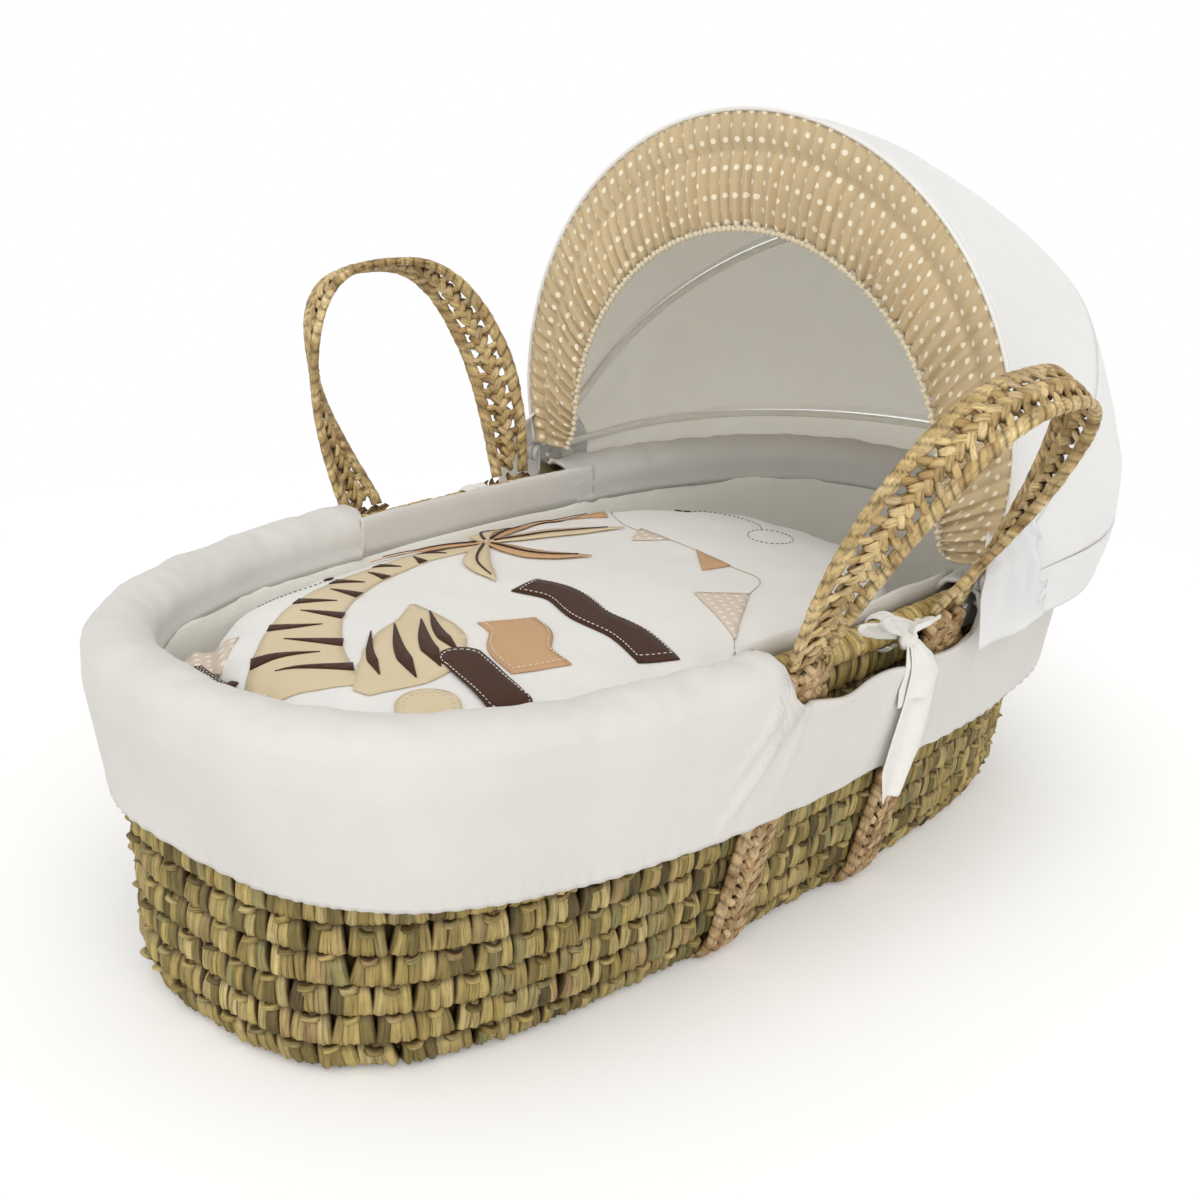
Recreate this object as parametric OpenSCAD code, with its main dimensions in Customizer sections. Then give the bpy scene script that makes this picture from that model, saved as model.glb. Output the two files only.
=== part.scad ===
// Palm-leaf baby cradle (Moses basket) with a quilted liner, a coverlet and a folding hood.
// Millimetres. +X points to the head (hood) end, +Z up, the origin is the middle of the underside.
// "right" is the -Y side and "left" the +Y side, as seen from the foot end.

/* [Basket] */
// Half length of the basket at the floor, outer face
base_a = 386; // [320:1:460]
// Half width of the basket at the floor, outer face
base_b = 157; // [135:1:190]
// How much longer each end is at the rim than at the floor
flare_a = 12; // [0:1:40]
// How much wider each side is at the rim than at the floor
flare_b = 47; // [20:1:60]
// Number of woven courses in the wall
courses = 10; // [10:1:10]
// Height of one woven course
course_h = 21.2; // [17.6:0.4:25.6]
// How far the lowest course turns in at the floor
tuck = 6; // [0:1:8]
// Thickness of the woven wall
wall_t = 14; // [10:0.5:18]
// Radius of the leaf-wrapped rim roll
rim_r = 10; // [7:0.5:13]
// Radius of the rattan hoop inside the rim roll
rim_core_r = 5; // [3:0.5:6]
// Thickness of the woven base
base_t = 14; // [12:0.5:20]

/* [Straps and handles] */
// Distance of each carrying strap from the middle of the basket
strap_x = 80; // [60:1:84]
// Width of the plaited band
band_w = 40; // [30:1:42]
// Thickness of the plaited band
band_t = 8.5; // [6:0.5:10]
// Widest half width of a handle loop, to the middle of its band
handle_half = 96; // [84:1:98]
// Height of the right handle loop along its own plane
handle_right_h = 204; // [150:1:215]
// Height of the left handle loop along its own plane
handle_left_h = 182; // [150:1:215]
// Outward lean of the right handle at rest, degrees
handle_right_lean = 28; // [5:1:45]
// Outward lean of the left handle at rest, degrees
handle_left_lean = 18; // [5:1:45]
// Sideways pull of the top of the right handle
handle_right_pull = 2; // [-20:1:2]
// Sideways pull of the top of the left handle
handle_left_pull = -20; // [-24:1:2]

/* [Liner] */
// Thickness of the quilted inner wall
bumper_t = 10; // [6:0.5:16]
// Padding thickness of the roll over the rim
roll_t = 8; // [5:0.5:10]
// Half length of the gap in the roll at each handle
roll_gap_x = 107; // [100:1:120]
// Start of the roll at the head end, beside the hood hinge
roll_head_x = 138; // [136:1:150]
// Thickness of the skirt cloth with its hem
skirt_t = 3.5; // [2:0.5:5]
// Height of the skirt hem above the floor
hem_z = 126; // [90:1:160]
// Thickness of the coverlet
coverlet_t = 24; // [14:1:32]
// Height of the middle of the coverlet above the floor
coverlet_top = 218; // [190:1:224]
// Head edge of the coverlet
coverlet_head_x = 215; // [150:1:222]
// Mattress thickness
mattress_t = 35; // [25:1:45]

/* [Hood] */
// Distance of the hood hinge from the middle of the basket
hood_x = 122; // [120:1:130]
// Height of the front arch above the hinge, to the cloth
hood_h = 300; // [260:1:330]
// Half width of the front arch, to the cloth
hood_r = 229; // [222:1:240]
// Reach of the middle hoop from the hinge, to the cloth
mid_h = 326; // [300:1:345]
// Half width of the middle hoop, to the cloth
mid_r = 227; // [222:1:240]
// Reach of the back hoop from the hinge, to the cloth
back_h = 335; // [315:1:360]
// Half width of the back hoop, to the cloth
back_r = 232; // [226:1:240]
// Angle of the middle hoop back from the front arch
mid_angle = 50; // [40:1:56]
// Angle of the back hoop back from the front arch
back_angle = 88; // [84:1:92]
// Diameter of the hoop wire
wire_d = 4.5; // [3:0.5:6]
// Thickness of the hood cloth
canopy_t = 2.5; // [1.5:0.5:4]
// Depth of the gathered band at the top of the mouth
frill_w = 82; // [50:1:100]
// Depth of the gathered band at its feet
frill_foot_w = 14; // [8:1:30]
// Thickness of the gathered band
frill_t = 6; // [4:0.5:9]

/* [Hidden] */

// clearances
fit_gap = 1;          // between pieces that lie side by side
cloth_gap = 0.5;      // between a hoop and the cloth around it
groove_gap = 0.5;     // round a strap in its groove
cover_t = 1.5;        // cloth of a padded piece
pad_gap = 0.2;        // between a cover and its wadding
core_gap = 0.8;       // between the rim's hoop and its winding
stitch_gap = 0.5;     // between two cloth edges that are sewn together

// outlines: the basket plan is a superellipse that goes from boxy at the floor to rounder at the rim
base_n = 3.3;
rim_n = 2.8;
ring_steps = 56;
wall_h = courses * course_h;
rim_z = wall_h + rim_r;
rim_in = 6;           // the rim roll's middle lies this far inside the wall's outer face

function signed_pow(v, p) = sign(v) * pow(abs(v), p);
function outline(s, t) = [s[0] * signed_pow(cos(t), 2 / s[2]), s[1] * signed_pow(sin(t), 2 / s[2]), s[3]];
// a section of the wall: half length, half width, exponent and height
function wall_at(z, off = 0) = [
    base_a + flare_a * z / rim_z + off,
    base_b + flare_b * z / rim_z + off,
    base_n + (rim_n - base_n) * z / rim_z,
    z];
// half width of a section at the place x
function half_width(s, x) = s[1] * pow(1 - pow(abs(x) / s[0], s[2]), 1 / s[2]);
// angle at which a section passes the place x
function angle_at(s, x) = acos(signed_pow(x / s[0], s[2] / 2));
// a turn about the Y axis from straight up towards +X
function lean_x(r, a) = [r * sin(a), r * cos(a)];
function quad(a, b, c, d) = [[a, b, c], [a, c, d]];

// A tube-like solid: rows of points, all rows equally long, each row a closed loop of the cross-section.
// The loop turns clockwise for someone who looks along the rows, and its two halves face each other.
module rows_solid(rows, loop = false) {
    m = len(rows[0]);
    n = len(rows);
    skin = [for (i = [0:(loop ? n - 1 : n - 2)]) for (j = [0:m - 1])
        let (k = (i + 1) % n, l = (j + 1) % m)
        for (f = quad(i * m + j, k * m + j, k * m + l, i * m + l)) f];
    first = [for (j = [0:m / 2 - 2]) for (f = quad(j, j + 1, m - 2 - j, m - 1 - j)) f];
    end = (n - 1) * m;
    last = [for (j = [0:m / 2 - 2])
        for (f = quad(end + j, end + m - 1 - j, end + m - 2 - j, end + j + 1)) f];
    polyhedron([for (r = rows) for (p = r) p], loop ? skin : concat(skin, first, last), convexity = 8);
}

// A ring that follows the basket: the profile is a list of sections, given from the inside over the top.
module basket_ring(profile) {
    rows_solid([for (i = [0:ring_steps - 1]) [for (s = profile) outline(s, 360 * i / ring_steps)]], true);
}

// A part of a ring round one end of the basket, from the place x on one side to x on the other.
module basket_arc(profile, x, head, steps = 34) {
    rows_solid([for (i = [0:steps]) [for (s = profile)
        let (t0 = angle_at(s, x), t = head ? -t0 + 2 * t0 * i / steps : t0 + (360 - 2 * t0) * i / steps)
        outline(s, t)]]);
}

// A part of a ring along the left side of the basket, between the places x0 and x1.
module basket_side(profile, x0, x1, steps = 16) {
    rows_solid([for (i = [0:steps]) [for (s = profile)
        let (t0 = angle_at(s, x1), t1 = angle_at(s, x0))
        outline(s, t0 + (t1 - t0) * i / steps)]]);
}

// ---- basket -------------------------------------------------------------

groove_z = band_t + groove_gap;

module strap_grooves() {
    for (x = [-strap_x, strap_x])
        translate([x - band_w / 2 - groove_gap, -base_b - 2 * wall_t, -1])
            cube([band_w + 2 * groove_gap, 2 * base_b + 4 * wall_t, groove_z + 1]);
}

// The oval base is plaited flat and lies inside the lowest course.
module base_panel() {
    color("#b79f63") difference() {
        linear_extrude(base_t)
            polygon([for (i = [0:ring_steps - 1])
                let (p = outline(wall_at(0, -wall_t - fit_gap), 360 * i / ring_steps)) [p[0], p[1]]]);
        strap_grooves();
    }
}

// One woven course of the wall.
module wall_course(i) {
    z0 = (i - 1) * course_h;
    z1 = i * course_h;
    color(i % 2 == 0 ? "#a98f55" : "#b9a468") difference() {
        basket_ring([wall_at(z0, -wall_t), wall_at(z1, -wall_t), wall_at(z1), wall_at(z0, i == 1 ? -tuck : 0)]);
        if (i == 1) strap_grooves();
    }
}

function rim_circle(r, steps) = [for (k = [0:steps - 1])
    let (a = 180 - 360 * k / steps, s = wall_at(rim_z, -rim_in + r * cos(a)))
    [s[0], s[1], rim_n, rim_z + r * sin(a)]];

// A rattan hoop stiffens the rim, and palm leaf is wound round it.
module rim_core() {
    color("#8a6a3a") basket_ring(rim_circle(rim_core_r, 8));
}

module rim_wrap() {
    color("#c2a662") difference() {
        basket_ring(rim_circle(rim_r, 8));
        basket_ring(rim_circle(rim_core_r + core_gap, 8));
    }
}

// ---- straps and handles ---------------------------------------------------

// inner face of a strap beside the floor and beside the rim roll
strap_y0 = base_b + fit_gap;
strap_y1 = wall_at(rim_z)[1] - rim_in + rim_r + fit_gap;
strap_rise = 4;       // the strap ends this far above the middle of the rim roll
strap_top = rim_z + strap_rise;
// handle hinge: the band bends on this line, just above the end of the strap
hinge_y = strap_y1 + band_t / 2;
hinge_gap = 1.5;
hinge_z = strap_top + band_t / 2 + hinge_gap;
function strap_in(z) = strap_y0 + (strap_y1 - strap_y0) * z / rim_z;

// The plaited strap runs from one handle down the wall, under the base and up to the other handle.
module strap(x) {
    half = [
        [strap_in(0) + band_t, 0],
        [strap_in(strap_top) + band_t, strap_top],
        [strap_in(strap_top), strap_top],
        [strap_in(band_t), band_t]];
    color("#b48f5e") translate([x - band_w / 2, 0, 0]) rotate([90, 0, 90])
        linear_extrude(band_w)
            polygon(concat(half, [for (i = [3:-1:0]) [-half[i][0], half[i][1]]]));
}

// Leaf bindings hold the strap to the wall under the rim.
lash_h = 12;
lash_t = 2.5;
lash_z0 = rim_z - lash_h - 3;
module lashing(x, side) {
    y_in = strap_y1 - fit_gap / 2;
    y_out = strap_in(lash_z0 + lash_h) + band_t + groove_gap + lash_t;
    color("#8d6b40") mirror([0, side < 0 ? 1 : 0, 0]) difference() {
        translate([x - band_w / 2 - lash_t - groove_gap, y_in, lash_z0])
            cube([band_w + 2 * lash_t + 2 * groove_gap, y_out - y_in, lash_h]);
        translate([x - band_w / 2 - groove_gap, y_in - 1, lash_z0 - 1])
            cube([band_w + 2 * groove_gap, y_out - y_in + 1 - lash_t, lash_h + 2]);
    }
}

// Middle line of a handle loop in its own plane: u along X, v up the plane, for f from 0 to 1.
handle_n = 2.9;
handle_steps = 44;
handle_swell = 0.62;  // share of the height at which the loop is widest
function handle_line(f, h, pull) =
    let (t = 180 - 180 * f,
         v = h * pow(sin(t), 2 / handle_n),
         half = strap_x + (handle_half - strap_x) * sin(90 * min(1, v / (handle_swell * h))))
    [half * signed_pow(cos(t), 2 / handle_n) + pull * v / h, v];

// The plaited handle: flat on the wall at its feet, turned to lie across the hand at the top.
module handle(side, h, lean, pull) {
    rows = [for (i = [0:handle_steps])
        let (f = i / handle_steps,
             c = handle_line(f, h, pull),
             d = handle_line(f + 0.004, h, pull) - handle_line(f - 0.004, h, pull),
             along = i == 0 ? [0, 1] : i == handle_steps ? [0, -1] : d / norm(d),
             inward = [along[1], -along[0]],
             turn = 90 * c[1] / h,
             // across the width and out of the face, each as [along X, out of the plane, up the plane]
             w = [inward[0] * cos(turn), sin(turn), inward[1] * cos(turn)],
             n = [-inward[0] * sin(turn), cos(turn), -inward[1] * sin(turn)])
        [for (q = [[-1, -1], [1, -1], [1, 1], [-1, 1]])
            [c[0], 0, c[1]] + q[0] * band_w / 2 * w + q[1] * band_t / 2 * n]];
    color("#bf9b63") translate([0, side * hinge_y, hinge_z]) mirror([0, side < 0 ? 1 : 0, 0])
        rotate([-lean, 0, 0]) rows_solid(rows);
}

// ---- mattress -------------------------------------------------------------

mattress_z = base_t + fit_gap;
mattress_side_gap = 4;
mattress_room = wall_t + 2 * fit_gap + bumper_t + mattress_side_gap;
mattress_edge = 1;

module mattress_block(inset) {
    translate([0, 0, mattress_z + inset]) linear_extrude(mattress_t - 2 * inset)
        polygon([for (i = [0:ring_steps - 1])
            let (edge = wall_at(mattress_z, -mattress_room - inset), p = outline(edge, 360 * i / ring_steps))
            [p[0], p[1]]]);
}

module mattress_foam() {
    color("#f2e9c8") mattress_block(mattress_edge + pad_gap);
}

module mattress_cover() {
    color("#f4f2ec") difference() {
        mattress_block(0);
        mattress_block(mattress_edge);
    }
}

// ---- liner ------------------------------------------------------------------

bumper_out = -wall_t - fit_gap;
bumper_z0 = base_t + 2 * fit_gap;
bumper_z1 = wall_h + 2;

module bumper_ring(inset) {
    z0 = bumper_z0 + inset;
    z1 = bumper_z1 - inset;
    basket_ring([
        wall_at(z0, bumper_out - bumper_t + inset),
        wall_at(z1, bumper_out - bumper_t + inset),
        wall_at(z1, bumper_out - inset),
        wall_at(z0, bumper_out - inset)]);
}

// The quilted wall inside the basket: a cloth cover filled with wadding.
module bumper_wadding() {
    color("#ffffff") bumper_ring(cover_t + pad_gap);
}

module bumper_cover() {
    color("#ece9e1") difference() {
        bumper_ring(0);
        bumper_ring(cover_t);
    }
}

// The padded roll over the rim: an upside-down U that hangs down outside to the skirt.
roll_in_r = rim_r + fit_gap;
roll_drop = 18;       // the roll ends this far below the middle of the rim
roll_out_z = rim_z - roll_drop;
roll_steps = 8;
// outermost offset of the roll, outside the straps
roll_out = strap_in(rim_z) + band_t + fit_gap + skirt_t - wall_at(rim_z)[1];
function roll_point(a, rx, rz, mid) = let (s = wall_at(rim_z, mid - rx * cos(a)))
    [s[0], s[1], rim_n, rim_z + rz * sin(a)];
roll_inner_off = -rim_in - roll_in_r - roll_t;
roll_mid = (roll_out + roll_inner_off) / 2;
roll_rx = (roll_out - roll_inner_off) / 2;
roll_profile = concat(
    [roll_low(roll_inner_off, bumper_z1 + stitch_gap)],
    [for (k = [0:roll_steps]) roll_point(180 * k / roll_steps, roll_rx, roll_in_r + roll_t, roll_mid)],
    [roll_low(roll_out, roll_out_z), roll_low(roll_out - roll_t + stitch_gap, roll_out_z)],
    [for (k = [roll_steps:-1:0]) roll_point(180 * k / roll_steps,
        roll_rx - roll_t + stitch_gap, roll_in_r, roll_mid)],
    [roll_low(roll_inner_off + roll_t - stitch_gap, bumper_z1 + stitch_gap)]);
function roll_low(off, z) = let (s = wall_at(rim_z, off)) [s[0], s[1], rim_n, z];

module roll_foot() {
    color("#efece5") basket_arc(roll_profile, -roll_gap_x, false);
}

module roll_head() {
    color("#efece5") basket_arc(roll_profile, roll_head_x, true);
}

// Between the rolls the inner wall ends in an upright edge that hides the rim from inside.
edge_in = roll_inner_off + stitch_gap;
edge_t = 4.5;
edge_rise = 14;       // the edge stands this far above the middle of the rim
module liner_edge() {
    z0 = bumper_z1 + stitch_gap;
    z1 = rim_z + edge_rise;
    color("#ece9e1") basket_side([
        roll_low(edge_in, z0),
        roll_low(edge_in, z1),
        roll_low(edge_in + edge_t, z1),
        roll_low(edge_in + edge_t, z0)], -roll_gap_x + fit_gap, roll_head_x - fit_gap);
}

module liner_edge_right() { mirror([0, 1, 0]) liner_edge(); }
module liner_edge_left() { liner_edge(); }

// The outer skirt hangs from the roll; at the handles its top edge runs free, just under the rim.
skirt_top_z = roll_out_z - stitch_gap;
hem_a = wall_at(hem_z)[0] + 2 * fit_gap + skirt_t;
hem_strap_gap = 10;
hem_b = strap_in(hem_z) + band_t + hem_strap_gap + skirt_t;
hem_n = 3;
function skirt_section(out, z) = let (f = (z - hem_z) / (skirt_top_z - hem_z),
    top = wall_at(rim_z, roll_out))
    [hem_a + (top[0] - hem_a) * f - out, hem_b + (top[1] - hem_b) * f - out, hem_n + (rim_n - hem_n) * f, z];
elastic_h = 8;

module skirt() {
    color("#efece5") basket_ring([
        skirt_section(skirt_t, hem_z),
        skirt_section(skirt_t, skirt_top_z),
        skirt_section(0, skirt_top_z),
        skirt_section(0, hem_z)]);
}

// Elastic gathers the hem from inside.
module skirt_elastic() {
    in = skirt_t + 0.3;
    color("#d9d5ca") basket_ring([
        skirt_section(in + 1.2, hem_z + 1),
        skirt_section(in + 1.2, hem_z + 1 + elastic_h),
        skirt_section(in, hem_z + 1 + elastic_h),
        skirt_section(in, hem_z + 1)]);
}

// Cloth ties hold the liner to the rim inside each handle gap.
tie_x = 24;
tie_w = 14;
tie_t = 2;
module tie_loop(side) {
    c = half_width(wall_at(rim_z, -rim_in), tie_x);
    translate([tie_x - tie_w / 2, side * c, rim_z]) rotate([90, 0, 90]) linear_extrude(tie_w)
        difference() {
            circle(r = rim_r + fit_gap + tie_t, $fn = 32);
            circle(r = rim_r + fit_gap, $fn = 32);
        }
}

// y of the skirt's outer face beside the tie, at the height z
function skirt_y(z) = half_width(skirt_section(0, z), tie_x);
knot_y = half_width(wall_at(rim_z, -rim_in), tie_x) + rim_r + fit_gap + tie_t;
knot_d = 17;

module tie_tail(length, lean) {
    z1 = rim_z - 2;
    z0 = z1 - length;
    translate([tie_x - tie_w / 2, 0, 0]) rotate([90, 0, 90]) linear_extrude(tie_w)
        polygon([
            [knot_y - tie_t, z1],
            [skirt_y(skirt_top_z) + fit_gap, skirt_top_z + 6],
            [skirt_y(z0) + fit_gap + lean, z0],
            [skirt_y(z0) + fit_gap + tie_t + lean, z0],
            [skirt_y(skirt_top_z) + fit_gap + tie_t, skirt_top_z + 7],
            [knot_y + tie_t, z1 + 2]]);
}

module tie_right() {
    color("#f4f2ec") {
        tie_loop(-1);
        mirror([0, 1, 0]) tie_tail(100, 1);
        translate([tie_x, -knot_y - knot_d / 2 + tie_t, rim_z + 4]) sphere(d = knot_d, $fn = 24);
    }
}

module tie_left() {
    color("#f4f2ec") {
        tie_loop(1);
        tie_tail(24, 0);
    }
}

// ---- coverlet -----------------------------------------------------------------

// The coverlet lies domed over the sleeping space and is tucked in on the mattress all round.
coverlet_side_gap = 4;
coverlet_foot_gap = 30;
coverlet_z0 = mattress_z + mattress_t + fit_gap;
shoulder_z = coverlet_top - 18;
shoulder = wall_at(shoulder_z, bumper_out - bumper_t - fit_gap);
coverlet_foot_x = -shoulder[0] + coverlet_foot_gap;
coverlet_mid = (coverlet_foot_x + coverlet_head_x) / 2;
coverlet_a = (coverlet_head_x - coverlet_foot_x) / 2;
coverlet_b = shoulder[1] - coverlet_side_gap;
hem_room = wall_at(coverlet_z0, bumper_out - bumper_t - fit_gap)[1] - coverlet_side_gap;
coverlet_steps = 44;
// [share of the half sizes drawn in, height] up the outer face
dome = [[0, shoulder_z], [4, shoulder_z + 7], [15, coverlet_top - 6], [45, coverlet_top - 2],
    [100, coverlet_top]];
hem_in_a = 75;
function dome_ring(a, b, z) = [for (i = [0:coverlet_steps - 1])
    let (p = outline([a, b, 2.5, z], 360 * i / coverlet_steps)) [p[0] + coverlet_mid, p[1], p[2]]];

// The dome as a solid: inset shrinks the cloth thickness from both faces.
module coverlet_dome(inset) {
    t = coverlet_t - inset;
    z0 = coverlet_z0 + inset;
    outer = concat(
        [dome_ring(coverlet_a - hem_in_a - inset, hem_room - inset, z0)],
        [for (d = dome) dome_ring(coverlet_a - d[0] - inset, coverlet_b - d[0] - inset, d[1] - inset)]);
    inner = concat(
        [dome_ring(coverlet_a - hem_in_a - t, hem_room - t, z0)],
        [for (d = dome) dome_ring(coverlet_a - d[0] - t, coverlet_b - min(d[0], coverlet_b - t - 20) - t,
            d[1] - t)]);
    rings = concat([for (i = [len(inner) - 1:-1:0]) inner[i]], outer);
    m = coverlet_steps;
    n = len(rings);
    polyhedron(
        [for (r = rings) for (p = r) p],
        concat(
            [for (i = [0:n - 2]) for (j = [0:m - 1])
                let (k = (j + 1) % m)
                for (f = quad(i * m + j, (i + 1) * m + j, (i + 1) * m + k, i * m + k)) f],
            [[for (j = [0:m - 1]) j], [for (j = [m - 1:-1:0]) (n - 1) * m + j]]),
        convexity = 8);
}

module coverlet_wadding() {
    color("#ffffff") coverlet_dome(cover_t + pad_gap);
}

module coverlet_cover() {
    color("#f7f5f0") difference() {
        coverlet_dome(0);
        coverlet_dome(cover_t);
    }
}

// ---- hood -------------------------------------------------------------------------

// Hinge line of the hood: along Y at hood_x.
hood_rise = 10;       // the hinge lies this far above the rim roll
hood_z = rim_z + rim_r + hood_rise;
bracket_w = 26;
bracket_t = 2.5;
bracket_y = half_width(wall_at(rim_z, -rim_in + rim_r), hood_x - bracket_w / 2) + 0.5;
hoop_pitch = 7;
front_foot = bracket_y + bracket_t + fit_gap + wire_d / 2;
mid_foot = front_foot + hoop_pitch;
back_foot = mid_foot + hoop_pitch;
rivet_d = 5;
eye_d = 2 * wire_d + rivet_d + 1;
cloth_out = wire_d / 2 + cloth_gap + canopy_t;
// the hanging part of the hood tapers by valance_drop on its way down, and clears the roll at the head end
valance_drop = 16;
back_reach = max(back_h, wall_at(rim_z)[0] + roll_out - hood_x + valance_drop + canopy_t + 2 * fit_gap);

// An arch in the hoop's own plane: legs from the foot out to the half circle of radius r; [across, up].
arch_leg = 7;
arch_round = 26;
function arch(foot, r, h, start = 0) = let (zc = h - r, m = arch_leg)
    concat(
        [for (k = [0:m - 1]) let (z = start + (zc - start) * k / m)
            [foot + (r - foot) * sin(90 * z / zc), z]],
        [for (k = [0:arch_round]) let (a = 180 * k / arch_round) [r * cos(a), zc + r * sin(a)]],
        [for (k = [m - 1:-1:0]) let (z = start + (zc - start) * k / m)
            [-foot - (r - foot) * sin(90 * z / zc), z]]);
// a point of an arch turned back about the hinge by the angle a
function swing(p, a) = [hood_x + p[1] * sin(a), p[0], hood_z + p[1] * cos(a)];

// A wire bent along an arch, with a flat eye on the hinge at each foot.
module hoop(foot, r, h, a) {
    line = arch(foot, r, h, eye_d / 2 - 1);
    n = len(line);
    translate([hood_x, 0, hood_z]) rotate([0, a, 0]) {
        rows_solid([for (i = [0:n - 1])
            let (d = line[min(n - 1, i + 1)] - line[max(0, i - 1)], u = d / norm(d))
            [for (k = [0:7]) let (q = -45 * k)
                [wire_d / 2 * sin(q),
                 line[i][0] + u[1] * wire_d / 2 * cos(q),
                 line[i][1] - u[0] * wire_d / 2 * cos(q)]]]);
        for (s = [-1, 1])
            translate([0, s * foot, 0]) rotate([90, 0, 0]) difference() {
                cylinder(d = eye_d, h = wire_d, center = true, $fn = 32);
                cylinder(d = rivet_d + 0.6, h = wire_d + 1, center = true, $fn = 32);
            }
    }
}

module hoop_front() { color("#dcdcd8") hoop(front_foot, hood_r - cloth_out, hood_h - cloth_out, 0); }
module hoop_middle() { color("#dcdcd8") hoop(mid_foot, mid_r - cloth_out, mid_h - cloth_out, mid_angle); }
module hoop_back() { color("#dcdcd8") hoop(back_foot, back_r - cloth_out, back_reach - cloth_out, back_angle); }

// A plate screwed to the rim on each side carries the hinge rivet.
bracket_z0 = skirt_top_z + 5;
bracket_z1 = hood_z + 9;
module hood_bracket(side) {
    color("#cfcfc9") difference() {
        translate([hood_x - bracket_w / 2, side * (bracket_y + bracket_t / 2) - bracket_t / 2, bracket_z0])
            cube([bracket_w, bracket_t, bracket_z1 - bracket_z0]);
        translate([hood_x, side * bracket_y, hood_z]) rotate([90, 0, 0])
            cylinder(d = rivet_d + 0.4, h = 20, center = true, $fn = 32);
        for (x = [-1, 1])
            translate([hood_x + x * screw_x, side * bracket_y, rim_z]) rotate([90, 0, 0])
                cylinder(d = screw_d + 0.4, h = 20, center = true, $fn = 32);
    }
}

module hood_bracket_right() { hood_bracket(-1); }
module hood_bracket_left() { hood_bracket(1); }

module hood_rivet(side) {
    head_d = 10;
    head_h = 1.6;
    y0 = bracket_y - 0.2;
    y1 = back_foot + wire_d / 2 + 0.8;
    color("#b8b8b4") translate([hood_x, 0, hood_z]) rotate([side < 0 ? 90 : -90, 0, 0]) {
        translate([0, 0, y0]) cylinder(d = rivet_d, h = y1 - y0, $fn = 32);
        translate([0, 0, y0 - head_h]) cylinder(d = head_d, h = head_h, $fn = 32);
        translate([0, 0, y1]) cylinder(d = head_d, h = head_h, $fn = 32);
    }
}

module hood_rivet_right() { hood_rivet(-1); }
module hood_rivet_left() { hood_rivet(1); }

screw_x = 8;
screw_d = 3.5;
screw_l = 5;
module bracket_screws() {
    color("#b8b8b4") for (side = [-1, 1]) for (x = [-1, 1])
        translate([hood_x + x * screw_x, 0, rim_z]) rotate([side < 0 ? 90 : -90, 0, 0]) {
            translate([0, 0, bracket_y + bracket_t - screw_l]) cylinder(d = screw_d, h = screw_l, $fn = 24);
            translate([0, 0, bracket_y + bracket_t]) cylinder(d = 7, h = 1.8, $fn = 24);
        }
}

// Cloth from one hoop to the next: the outer face bulges or sags by way of the reach list.
canopy_start = 14;
module canopy(list) {
    rows = [for (c = list)
        let (t = canopy_t,
             o = arch(c[1], c[2], c[3], canopy_start),
             i = arch(c[1] - t, c[2] - t, c[3] - t, canopy_start))
        concat([for (p = o) swing(p, c[0])], [for (k = [len(i) - 1:-1:0]) swing(i[k], c[0])])];
    rows_solid(rows);
}

seam = 0.6;
module canopy_front() {
    foot = front_foot + cloth_out;
    color("#f3f1ec") canopy([
        [seam, foot, hood_r, hood_h],
        [mid_angle * 0.25, foot + 2, hood_r - 1, hood_h - 3],
        [mid_angle * 0.55, foot + 4, hood_r - 1, hood_h - 2],
        [mid_angle * 0.82, foot + 6, mid_r, mid_h - 14],
        [mid_angle - seam, mid_foot + cloth_out, mid_r, mid_h]]);
}

module canopy_rear() {
    foot = mid_foot + cloth_out;
    turn = back_angle - mid_angle;
    color("#f3f1ec") canopy([
        [mid_angle + seam, foot, mid_r, mid_h],
        [mid_angle + turn * 0.35, foot + 2, mid_r + 3, mid_h + 3],
        [mid_angle + turn * 0.7, foot + 5, back_r + 1, back_reach + 3],
        [back_angle - seam, back_foot + cloth_out, back_r, back_reach]]);
}

// The lowest part of the hood hangs from the back hoop, outside the liner.
valance_z = skirt_top_z + 0.5;
module canopy_valance() {
    draw_in = 7;
    rows = [for (c = [[0, 0], [0.5, 0.45], [1, 1]])
        let (o = arch(back_foot + cloth_out, back_r - draw_in * c[1], back_reach - valance_drop * c[1], canopy_start),
             i = arch(back_foot + cloth_out - canopy_t, back_r - draw_in * c[1] - canopy_t,
                 back_reach - valance_drop * c[1] - canopy_t, canopy_start))
        concat(
            [for (p = o) valance_point(p, c[0])],
            [for (k = [len(i) - 1:-1:0]) valance_point(i[k], c[0])])];
    color("#f3f1ec") rows_solid(rows);
}

// from the back hoop's plane straight down to the hem
function valance_point(p, f) = let (s = swing(p, back_angle + seam))
    [s[0], s[1], s[2] + (valance_z - s[2]) * f];

// The gathered polka-dot band stands in the mouth of the hood, in front of the front hoop.
frill_x = hood_x - wire_d / 2 - 0.3 - frill_t;
frill_start = 30;
frill_side = 0.62;    // depth of the gathered band at its sides, as a share of its depth at the top
mouth_foot = front_foot + cloth_out - frill_foot_w - 10;
frill_out = arch(front_foot + cloth_out, hood_r, hood_h, frill_start);
mouth_line = arch(mouth_foot, hood_r - frill_w * frill_side, hood_h - frill_w, frill_start);

module frill() {
    color("#d3bf93") translate([frill_x, 0, hood_z]) rotate([90, 0, 90])
        linear_extrude(frill_t)
            polygon(concat(frill_out, [for (k = [len(mouth_line) - 1:-1:0]) mouth_line[k]]));
}

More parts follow.
